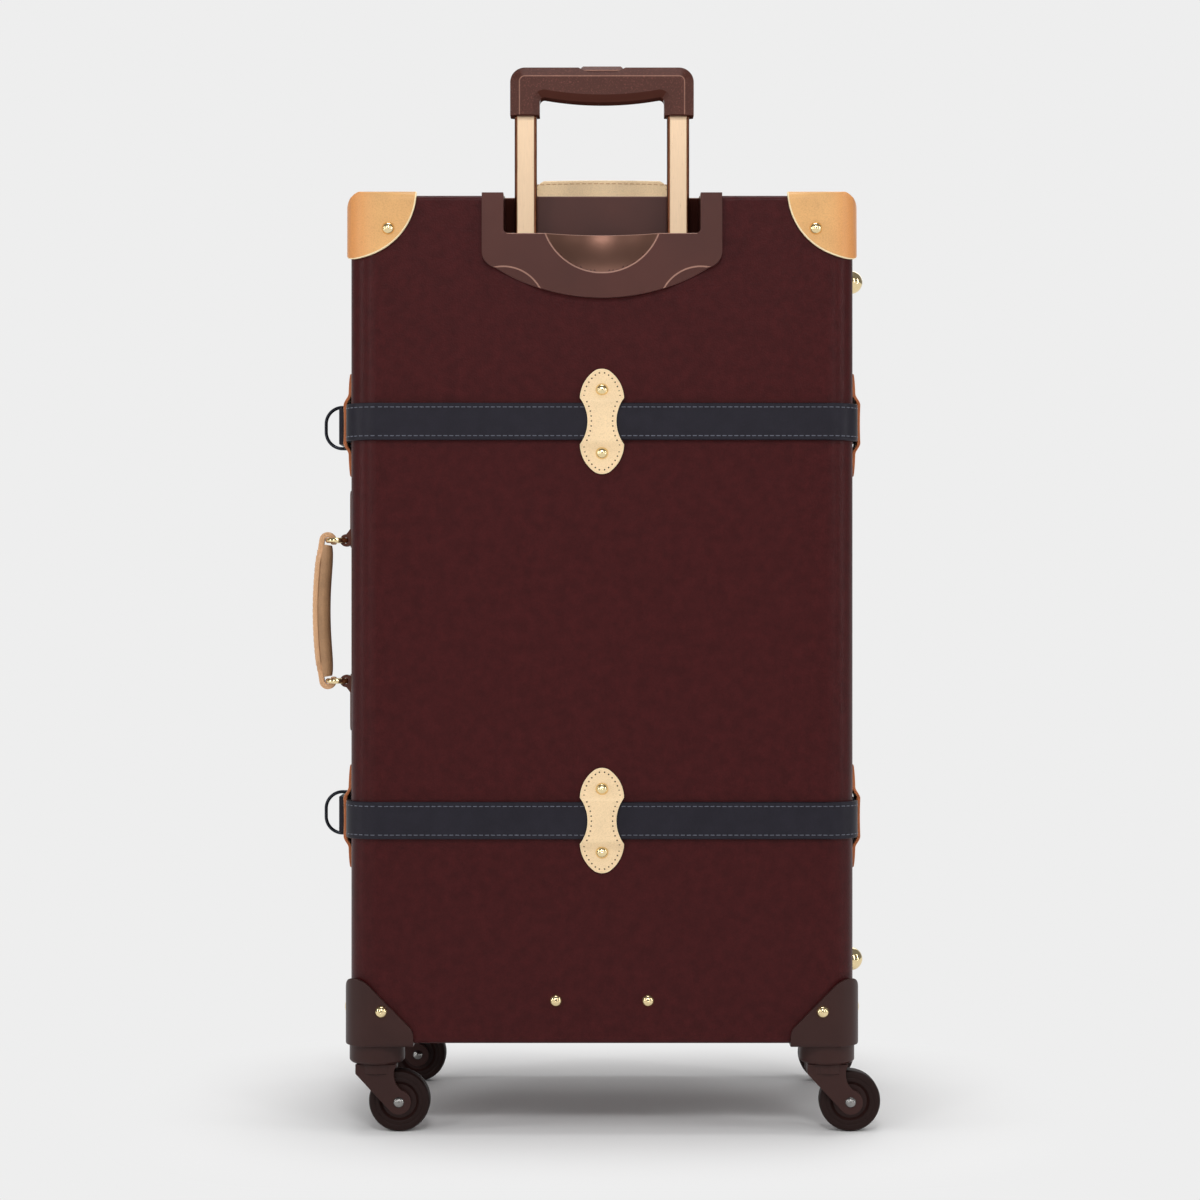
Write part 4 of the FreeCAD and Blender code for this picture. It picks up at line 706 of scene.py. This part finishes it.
class SUITCASE_OT_straps(bpy.types.Operator):
    """Navy straps round both halves, with their twin rows of stitching"""

    bl_idname = "suitcase.straps"
    bl_label = "Straps"

    corner_steps = 12
    loop_steps = 24

    def execute(self, context):
        for level, z in STRAP_Z.items():
            for half in ("back", "front"):
                self.strap(f"strap_{level}_{half}", z, half == "front")
        return {"FINISHED"}

    def strap(self, node, z, on_lid):
        sign = 1 if on_lid else -1
        low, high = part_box(node)
        wall = SIDE + SEAT
        thick = high.x - wall
        wide = high.z - low.z
        end = FRONT + SEAT if on_lid else BACK - SEAT
        bend = EDGE_R + SEAT
        bar = Vector(JOINTS["d_ring_upper_swing"]["pos_m"])
        hinge_y = PARTING + sign * STRAP_STOP
        left_y = PARTING + RAMP_START if on_lid else bar.y
        turn_y = end - sign * bend
        quarter = sign * math.pi / 2
        corners = [Vector((x, turn_y, z)) for x in (wall - bend, bend - wall)]

        bm = bmesh.new()
        face = strap_profile(bm, Vector((wall, hinge_y, z)), UP, ACROSS, thick, wide)
        face = run_on(bm, face, Vector((0, turn_y - hinge_y, 0)))
        face = turn_on(bm, face, corners[0], UP, quarter, self.corner_steps)
        face = run_on(bm, face, corners[1] - corners[0])
        face = turn_on(bm, face, corners[1], UP, quarter, self.corner_steps)
        face = run_on(bm, face, Vector((0, left_y - turn_y, 0)))
        outside = wall + thick
        front = Vector((0, end + sign * thick, z))
        runs = [
            (Vector((outside, hinge_y, z)), Vector((outside, turn_y, z)), ACROSS),
            (front + ACROSS * (wall - bend), front + ACROSS * (bend - wall), sign * OUT),
            (Vector((-outside, turn_y, z)), Vector((-outside, left_y, z)), -ACROSS),
        ]
        if on_lid:
            ramp = Vector((-outside, left_y, z))
            foot = Vector((low.x, left_y - RAMP_RUN, z))
            tip = Vector((low.x, low.y, z))
            face = run_on(bm, face, foot - ramp)
            run_on(bm, face, tip - foot)
            runs.append((ramp, foot, (foot - ramp).cross(UP).normalized()))
            runs.append((foot, tip, -ACROSS))
        bmesh.ops.recalc_face_normals(bm, faces=bm.faces)
        soften(bm, sharp_edges(bm, CUT_TURN), sizes().leather_edge)
        if not on_lid:
            self.loop(bm, Vector((bar.x, bar.y, z)), wide)
        stand_for(node, "_leather", bm, ["strap"])
        bends = [(corner, way, quarter) for corner, way in zip(corners, (ACROSS, sign * OUT))]
        self.stitches(node, runs, bends, bend + thick, wide)

    def loop(self, bm, bar, wide):
        """Folded strap end round the bar of the D-ring."""
        corners = [(RING_WIRE, -1), (STRAP_LOOP, -1), (STRAP_LOOP, 1), (RING_WIRE, 1)]
        profile = [bm.verts.new(bar + Vector((r, 0, lift * wide / 2))) for r, lift in corners]
        face = bm.faces.new(profile)
        bmesh.ops.spin(
            bm, geom=[face] + list(face.edges) + profile, cent=bar, axis=UP, angle=2 * math.pi,
            steps=self.loop_steps, use_merge=True, use_duplicate=False,
        )
        bmesh.ops.recalc_face_normals(bm, faces=bm.faces)

    def stitches(self, node, runs, bends, radius, wide):
        """Two rows of stitches along the straight runs and round the bends."""
        pitch = sizes().pitch
        places = []
        for start, end, out in runs:
            along = (end - start).normalized()
            for step in range(int((end - start).length / pitch)):
                places.append((start + along * (step + 0.5) * pitch, along, out))
        for corner, out, angle in bends:
            count = int(abs(angle) * radius / pitch)
            for step in range(count):
                turn = Matrix.Rotation(angle * (step + 0.5) / count, 3, "Z")
                facing = turn @ out
                places.append((corner + facing * radius, UP.cross(facing), facing))
        bm = bmesh.new()
        row = wide / 2 - sizes().inset
        shape = (sizes().stitch, sizes().thread, sizes().thread)
        for spot, along, out in places:
            turn = Matrix((along, out, along.cross(out))).transposed().to_4x4()
            for lift in (-row, row):
                stitch_shape(bm, Matrix.Translation(spot + UP * lift) @ turn, shape)
        finish_mesh(node + "_stitches", bm, node, ["thread"])


class SUITCASE_OT_keepers(bpy.types.Operator):
    """Bow-tie keepers over the straps, punched along their edges, the holes drawn as shallow discs of painted
    shade
    """

    bl_idname = "suitcase.keepers"
    bl_label = "Strap keepers"

    # Points of the outline, sideways and up from the middle
    half = 42.6 * MM
    tip = (5.6 * MM, 41.2 * MM)
    lobe = (13.0 * MM, 33.8 * MM)
    shoulder = (17.9 * MM, 18.8 * MM)
    waist = 11.7 * MM

    thick = 3.0 * MM
    over = 4.3 * MM  # rise over the strap
    step = (15.2 * MM, 25.0 * MM)  # that rise, from the middle of the strap
    step_cuts = 8
    cut_snap = 1e-7  # points nearer to a cut than this are on it
    flat_y = 0.8  # least y of the normals of its flat faces
    finishes = ["keeper", "cut", "cut_dark"]
    arc_step = 1.6 * MM  # between points of the outline
    hole_deep = 0.12 * MM
    hole_sides = 8
    hole_taper = 0.8
    hole_apart = 0.7  # least share of the pitch between holes, where two rows meet

    def arcs(self):
        """Outline as arcs round the keeper: centre, start, and angle, in the plane of the wall."""
        points = []
        for up in (1, -1):
            right, left = up, -up
            shoulders = [Vector((s * self.shoulder[0], 0, up * self.shoulder[1])) for s in (right, left)]
            lobes = [Vector((s * self.lobe[0], 0, up * self.lobe[1])) for s in (right, left)]
            tips = [Vector((s * self.tip[0], 0, up * self.tip[1])) for s in (right, left)]
            below = Vector((shoulders[1].x, 0, -shoulders[1].z))
            points.append((shoulders[0], lobes[0], tips[0]))
            points.append((tips[0], UP * up * self.half, tips[1]))
            points.append((tips[1], lobes[1], shoulders[1]))
            points.append((shoulders[1], ACROSS * left * self.waist, below))
        return [self.arc(*three) for three in points]

    def arc(self, start, middle, end):
        """Centre of the circle through three points, the first point, and the angle to the last."""
        a, b = middle - start, end - start
        cross = a.x * b.z - a.z * b.x
        x = (b.z * a.length_squared - a.z * b.length_squared) / (2 * cross)
        z = (a.x * b.length_squared - b.x * a.length_squared) / (2 * cross)
        centre = start + Vector((x, 0, z))
        first, last = start - centre, end - centre
        angle = math.atan2(first.x * last.z - first.z * last.x, first.dot(last))
        return centre, start, angle

    def lift(self, u):
        """How far the keeper stands off the wall at a height from its middle."""
        return self.over * (1 - ease(abs(u), *self.step))

    def keeper(self, place, edge):
        bm = bmesh.new()
        for centre, start, angle in self.arcs():
            steps = max(2, round(abs(angle) * (start - centre).length / self.arc_step))
            bmesh.ops.spin(
                bm, geom=[bm.verts.new(start)], cent=centre, axis=-OUT, angle=angle, steps=steps,
                use_duplicate=False,
            )
        bmesh.ops.remove_doubles(bm, verts=bm.verts, dist=MERGE)
        made = bmesh.ops.contextual_create(bm, geom=bm.edges[:])
        run_on(bm, made["faces"][0], OUT * self.thick)
        near, far = self.step
        for cut in range(self.step_cuts):
            level = near + (far - near) * cut / (self.step_cuts - 1)
            for sign in (-1, 1):
                bmesh.ops.bisect_plane(
                    bm, geom=bm.verts[:] + bm.edges[:] + bm.faces[:], dist=self.cut_snap,
                    plane_co=UP * sign * level, plane_no=UP,
                )
        bmesh.ops.recalc_face_normals(bm, faces=bm.faces)
        soften(bm, sharp_edges(bm, CUT_TURN), sizes().leather_edge)
        bm.normal_update()
        for f in bm.faces:
            f.material_index = edge if abs(f.normal.y) < self.flat_y else 0
        for v in bm.verts:
            v.co.y += self.lift(v.co.z) + SEAT
        bm.transform(place)
        return bm

    def holes(self, bm, place):
        size = sizes().hole
        made = []
        for centre, start, angle in self.arcs():
            radius = (start - centre).length - math.copysign(sizes().hole_inset, angle)
            count = round(abs(angle) * radius / sizes().hole_pitch)
            first = (start - centre).normalized() * radius
            for i in range(count):
                turn = Matrix.Rotation(angle * (i + 0.5) / count, 3, -OUT)
                spot = centre + turn @ first
                if any((spot - other).length < self.hole_apart * sizes().hole_pitch for other in made):
                    continue
                made.append(spot.copy())
                spot.y = self.thick + SEAT + self.lift(spot.z)
                flat = Matrix.Translation(spot) @ Matrix.Rotation(math.pi / 2, 4, "X")
                # a shallow dark disc on the keeper: painted shade in the hole
                bmesh.ops.create_cone(
                    bm, cap_ends=True, segments=self.hole_sides, radius1=size,
                    radius2=size * self.hole_taper, depth=self.hole_deep, matrix=place @ flat,
                )

    def execute(self, context):
        groups = {"back": [], "front": []}
        pale, dyed = self.finishes.index("cut"), self.finishes.index("cut_dark")
        for z in STRAP_Z.values():
            side_y = BACK + KEEPER_FROM_BACK
            groups["back"].append((face_turn("back", Vector((0, BACK, z))), pale))
            groups["back"].append((face_turn("left", Vector((-SIDE, side_y, z))), dyed))
            groups["back"].append((face_turn("right", Vector((SIDE, side_y, z))), dyed))
            groups["front"].append((face_turn("front", Vector((0, FRONT, z))), pale))
        for half, places in groups.items():
            leather_bm, hole_shade_bm = bmesh.new(), bmesh.new()
            for place, edge in places:
                add_part(leather_bm, self.keeper(place, edge))
                self.holes(hole_shade_bm, place)
            node = "strap_keepers_" + half
            stand_for(node, "_leather", leather_bm, self.finishes)
            finish_mesh(node + "_hole_shade", hole_shade_bm, node, ["hole"])
        return {"FINISHED"}


class SUITCASE_OT_handles(bpy.types.Operator):
    """Carry handles: a band folded round both rings, a stitched core under it, and the tabs"""

    bl_idname = "suitcase.handles"
    bl_label = "Carry handles"

    # Name, face of the case, turn about the rings and finish of each handle
    # the side handle's darker tan and the top handle's paler keeper tan are painted shade and painted light on one
    # leather
    handles = [("side", "left", 0, "handle"), ("top", "top", TOP_HANDLE_TILT, "keeper")]
    band = 4.4 * MM  # thickness of the outer band
    wide = 20 * MM
    slim = 5 * MM  # width where the band passes a ring
    narrow_from, narrow_to = 17 * MM, 8 * MM  # from full width to slim, before the ring
    wire = 2.2 * MM  # radius of a ring's wire
    wire_gap = 0.4 * MM
    ring = 7.8 * MM  # ring radius to the middle of its wire
    crown = 17.3 * MM  # middle of the band from the rings' axis
    tail = 3.5 * MM  # folded end under the band
    core_deep = 9.5 * MM
    core_short = 3.0 * MM  # core end from the ring
    core_inset = 1.2 * MM
    core_round = 0.7  # below 1, its section is fuller than an ellipse
    core_past = 1.03  # where its ends would close, as a share of its half length
    core_blunt = 6  # higher, its ends draw in later
    core_least = (0.55, 0.35)  # width and depth left at its ends
    seam_inset = 3 * MM
    seam_share = 0.86  # of the band's arc
    fold_steps = 14
    band_steps = 44
    core_steps = 40
    core_points = 13

    def shape(self, reach):
        """Fold radius, angle where the band leaves the fold, the band's own radius and its centre."""
        fold = self.wire + self.wire_gap + self.band / 2
        rise = self.crown - self.ring - fold
        bow = (reach**2 + rise**2) / (2 * rise)
        lean = math.asin(reach / bow)
        bow += fold
        return fold, lean, bow, OUT * (self.ring + (fold - bow) * math.cos(lean))

    def narrowing(self, along, reach):
        slimmer = ease(abs(along), reach - self.narrow_from, reach - self.narrow_to)
        return 1 + (self.slim / self.wide - 1) * slimmer

    def band_mesh(self, reach):
        fold, lean, bow, middle = self.shape(reach)
        bm = bmesh.new()
        start = OUT * (self.ring - fold - self.band / 2) + UP * (self.tail - reach)
        face = strap_profile(bm, start, ACROSS, OUT, self.band, self.wide)
        face = run_on(bm, face, -UP * self.tail)
        for centre, angle, steps in (
            (OUT * self.ring - UP * reach, math.pi - lean, self.fold_steps),
            (middle, 2 * lean, self.band_steps),
            (OUT * self.ring + UP * reach, math.pi - lean, self.fold_steps),
        ):
            face = turn_on(bm, face, centre, ACROSS, angle, steps)
        run_on(bm, face, -UP * self.tail)
        bmesh.ops.recalc_face_normals(bm, faces=bm.faces)
        soften(bm, sharp_edges(bm, CUT_TURN), self.band / 4)
        for v in bm.verts:
            v.co.x *= self.narrowing(v.co.z, reach)
        return bm

    def core_mesh(self, reach):
        """Rounded core sewn under the band, drawn in at both ends."""
        bow, middle = self.shape(reach)[2:]
        end = reach - self.core_short
        turn = math.asin(end / bow)
        top = bow - self.band / 2
        half = self.wide / 2 - self.core_inset
        bm = bmesh.new()
        verts = []
        for i in range(self.core_points):
            angle = math.pi * i / (self.core_points - 1)
            deep = self.core_deep * math.sin(angle) ** self.core_round
            spot = Vector((half * math.cos(angle), top - deep, 0))
            spot.rotate(Matrix.Rotation(-turn, 4, "X"))
            verts.append(bm.verts.new(middle + spot))
        turn_on(bm, bm.faces.new(verts), middle, ACROSS, 2 * turn, self.core_steps)
        bmesh.ops.recalc_face_normals(bm, faces=bm.faces)
        for v in bm.verts:
            taper = math.sqrt(1 - (abs(v.co.z) / (end * self.core_past)) ** self.core_blunt)
            slim, thin = (least + (1 - least) * taper for least in self.core_least)
            arm = v.co - middle
            across = math.hypot(arm.y, arm.z)
            drawn = (top + (across - top) * thin) / across
            v.co = middle + Vector((arm.x * slim, arm.y * drawn, arm.z * drawn))
        return bm

    def seam(self, reach):
        """Two rows of stitches on the outside of the band."""
        lean, bow, middle = self.shape(reach)[1:]
        reach_angle = lean * self.seam_share
        count = int(2 * reach_angle * bow / sizes().pitch)
        bm = bmesh.new()
        shape = (sizes().thread, sizes().thread, sizes().stitch)
        for i in range(count):
            turn = Matrix.Rotation(reach_angle * (2 * (i + 0.5) / count - 1), 4, "X")
            spot = middle + turn @ (OUT * (bow + self.band / 2))
            row = (self.wide / 2 - self.seam_inset) * self.narrowing(spot.z, reach)
            for x in (-row, row):
                stitch_shape(bm, Matrix.Translation(spot + ACROSS * x) @ turn, shape)
        return bm

    def execute(self, context):
        for name, face, tilt, finish in self.handles:
            rings = name + "_handle_rings"
            low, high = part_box(rings)
            reach = max(high - low) / 2 - self.wire
            place = face_turn(face, (low + high) / 2) @ Matrix.Rotation(math.radians(tilt), 4, "Z")
            grip = name + "_handle_grip"
            band, core, seam = self.band_mesh(reach), self.core_mesh(reach), self.seam(reach)
            for bm in (band, core, seam):
                bm.transform(place)
            stand_for(grip, "_band", band, [finish])
            finish_mesh(grip + "_core", core, grip, ["core"])
            finish_mesh(grip + "_stitches", seam, grip, ["tan_thread"])
            tabs = name + "_handle_tabs"
            bm = node_copy(tabs)
            soften(bm, sharp_edges(bm, CUT_TURN), sizes().leather_edge)
            stand_for(tabs, "_leather", bm, ["tab"])
        return {"FINISHED"}


class SUITCASE_OT_casters(bpy.types.Operator):
    """Caster wheels: tread, sidewall, dished hub and hub ring"""

    bl_idname = "suitcase.casters"
    bl_label = "Caster wheels"

    # Half section of a wheel: radius and half width, as shares of the wheel's own
    section = [
        (0.13, 0.80), (0.28, 0.80), (0.30, 0.72), (0.54, 0.66), (0.58, 0.72), (0.62, 0.92),
        (0.66, 0.98), (0.74, 0.98), (0.77, 0.94), (0.80, 0.98), (0.88, 1.0), (0.95, 0.93),
        (0.99, 0.74), (1.0, 0.5), (1.0, 0.12), (0.985, 0.08),
    ]
    hub_share = 0.6  # of the wheel's radius
    steps = 72

    def execute(self, context):
        for spot in SPOTS:
            node = "wheel_" + spot
            low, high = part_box(node)
            axle = (low + high) / 2
            radius = (high.z - low.z) / 2
            half = (high.y - low.y) / 2
            bm = bmesh.new()
            points = [(r * radius, w * half) for r, w in self.section]
            loop = points + [(r, -w) for r, w in reversed(points)]
            verts = [bm.verts.new(axle + Vector((r, w, 0))) for r, w in loop]
            edges = [bm.edges.new(pair) for pair in zip(verts, verts[1:] + verts[:1])]
            bmesh.ops.spin(
                bm, geom=verts + edges, cent=axle, axis=OUT, angle=2 * math.pi, steps=self.steps,
                use_merge=True, use_duplicate=False,
            )
            bmesh.ops.remove_doubles(bm, verts=bm.verts, dist=MERGE)
            bmesh.ops.recalc_face_normals(bm, faces=bm.faces)
            for f in bm.faces:
                arm = f.calc_center_median() - axle
                f.material_index = int(math.hypot(arm.x, arm.z) < self.hub_share * radius)
            stand_for(node, "_rolled", bm, ["tyre", "hub"])
        return {"FINISHED"}


class SUITCASE_OT_linings(bpy.types.Operator):
    """Woven linings of both halves"""

    bl_idname = "suitcase.linings"
    bl_label = "Linings"

    edge = 0.4 * MM

    def execute(self, context):
        for node in ("tray_lining", "lid_lining"):
            bm = node_copy(node)
            soften(bm, sharp_edges(bm, CUT_TURN), self.edge)
            stand_for(node, "_cloth", bm, ["lining"])
        return {"FINISHED"}


class SUITCASE_OT_stage(bpy.types.Operator):
    """Pale floor, soft lamps and the photograph's camera"""

    bl_idname = "suitcase.stage"
    bl_label = "Stage"

    backdrop = linear(238, 238, 238)
    paper = (0.94, 0.94, 0.94)
    floor_half = 30.0
    fade = 0.2  # floor turns into the backdrop, from the foot of the case outwards
    room = 0.4  # light of the room on the part
    dim = 0.25  # how bright metal sees the room in front of the backdrop
    dim_from, dim_to = 0.6, 1.0  # backdrop, by how far back a reflection points
    aim = Vector((0, 0, 0.45))

    # Name, place, width and height, and power of each lamp
    lamps = [
        ("key_left", (-1.5, -2.3, 1.3), (0.35, 1.9), 12),
        ("key_right", (1.5, -2.3, 1.3), (0.35, 1.9), 9),
        ("edge_left", (-2.5, -0.95, 1.0), (0.12, 1.8), 10),
        ("edge_right", (2.5, -0.95, 1.0), (0.12, 1.8), 10),
        ("front", (0, -2.6, 1.35), (1.2, 0.7), 2.6),
        ("sheen", (0, -2.4, 2.1), (0.5, 0.4), 16),
        ("top", (0, 0, 2.6), (1.2, 0.9), 20),
        ("back", (0.5, 2.4, 1.8), (1.8, 1.4), 12),
    ]

    def lamp(self, name, place, size, power):
        data = bpy.data.lights.new(name, "AREA")
        data.shape = "RECTANGLE"
        data.size, data.size_y = size
        data.energy = power
        lamp = new_object(name, data)
        lamp.location = place
        lamp.rotation_euler = (self.aim - lamp.location).to_track_quat("-Z", "Y").to_euler()

    def seen(self, tree):
        """1 for rays that show the backdrop: from the camera, off metal and through glass."""
        path = put(tree, "ShaderNodeLightPath")
        bright = path.outputs["Is Camera Ray"]
        for ray in ("Is Glossy Ray", "Is Transmission Ray"):
            bright = maths(tree, "MAXIMUM", bright, path.outputs[ray])
        return bright

    def floor(self):
        bm = bmesh.new()
        bmesh.ops.create_grid(bm, x_segments=1, y_segments=1, size=self.floor_half)
        mesh = mesh_of("studio_floor", bm)
        floor = new_object("studio_floor", mesh)
        made, tree, shader = new_material("studio_paper")
        feed(tree, shader, {"Base Color": (*self.paper, 1), "Roughness": 0.8, "Specular IOR Level": 0.0})
        away = object_place(tree)
        for step, value in (("ABSOLUTE", None), ("SUBTRACT", (SIDE, FRONT, 0)), ("MAXIMUM", (0, 0, 0))):
            move = put(tree, "ShaderNodeVectorMath", {"operation": step}, i0=away)
            if value:
                move.inputs[1].default_value = value
            away = move.outputs[0]
        away = put(tree, "ShaderNodeVectorMath", {"operation": "LENGTH"}, i0=away).outputs["Value"]
        seen = maths(tree, "MULTIPLY", smooth_step(tree, away, 0.0, self.fade), self.seen(tree))
        glow = put(tree, "ShaderNodeEmission", Color=(*self.backdrop, 1), Strength=1.0)
        mix = put(tree, "ShaderNodeMixShader", i0=seen, i1=shader.outputs[0], i2=glow.outputs[0])
        tree.links.new(mix.outputs[0], tree.nodes["Material Output"].inputs["Surface"])
        mesh.materials.append(made)

    def world(self):
        world = bpy.data.worlds.new("studio_world")
        bpy.context.scene.world = world
        world.use_nodes = True
        tree = world.node_tree
        tree.nodes.clear()
        room = put(tree, "ShaderNodeBackground", Color=(1, 1, 1, 1), Strength=self.room)
        facing = put(tree, "ShaderNodeTexCoord").outputs["Generated"]
        way = put(tree, "ShaderNodeSeparateXYZ", Vector=facing)
        behind = smooth_step(tree, way.outputs["Y"], self.dim_from, self.dim_to, low=self.dim)
        camera_ray = put(tree, "ShaderNodeLightPath").outputs["Is Camera Ray"]
        shown = maths(tree, "MAXIMUM", behind, camera_ray)
        paper = put(tree, "ShaderNodeBackground", Color=(*self.backdrop, 1), Strength=shown)
        mix = put(tree, "ShaderNodeMixShader", i0=self.seen(tree), i1=room.outputs[0], i2=paper.outputs[0])
        put(tree, "ShaderNodeOutputWorld", Surface=mix.outputs[0])

    def camera(self):
        data = bpy.data.cameras.new("photo_camera")
        data.sensor_width = SENSOR
        data.sensor_fit = "HORIZONTAL"
        data.lens = SENSOR * CAMERA_AWAY / (MM_PER_PX * MM * PHOTO_PX)
        camera = new_object("photo_camera", data)
        camera.location = (CAMERA_SIDE, BACK - CAMERA_AWAY, CAMERA_HIGH)
        camera.rotation_euler = (math.pi / 2, 0, 0)
        bpy.context.scene.camera = camera

    def execute(self, context):
        self.floor()
        self.world()
        for row in self.lamps:
            self.lamp(*row)
        self.camera()
        context.scene.view_settings.view_transform = "Standard"
        return {"FINISHED"}


class SUITCASE_PT_panel(bpy.types.Panel):
    bl_label = "Suitcase"
    bl_idname = "SUITCASE_PT_panel"
    bl_space_type = "VIEW_3D"
    bl_region_type = "UI"
    bl_category = "Suitcase"

    def draw(self, context):
        column = self.layout.column()
        for group in (tones(), sizes()):
            for key in group.bl_rna.properties.keys():
                if key not in ("rna_type", "name"):
                    column.prop(group, key)
        for operator in OPERATORS:
            column.operator(operator.bl_idname)


OPERATORS = (
    SUITCASE_OT_hard_parts,
    SUITCASE_OT_mouldings,
    SUITCASE_OT_grip,
    SUITCASE_OT_recess,
    SUITCASE_OT_corner_caps,
    SUITCASE_OT_straps,
    SUITCASE_OT_keepers,
    SUITCASE_OT_handles,
    SUITCASE_OT_casters,
    SUITCASE_OT_linings,
    SUITCASE_OT_stage,
)
CLASSES = (SuitcaseColours, SuitcaseSizes, *OPERATORS, SUITCASE_PT_panel)


def register():
    for cls in CLASSES:
        bpy.utils.register_class(cls)
    bpy.types.Scene.suitcase_colours = bpy.props.PointerProperty(type=SuitcaseColours)
    bpy.types.Scene.suitcase_sizes = bpy.props.PointerProperty(type=SuitcaseSizes)


def unregister():
    del bpy.types.Scene.suitcase_sizes
    del bpy.types.Scene.suitcase_colours
    for cls in reversed(CLASSES):
        bpy.utils.unregister_class(cls)


def main():
    register()
    for operator in OPERATORS:
        group, name = operator.bl_idname.split(".")
        getattr(getattr(bpy.ops, group), name)()


if __name__ == "__main__":
    main()
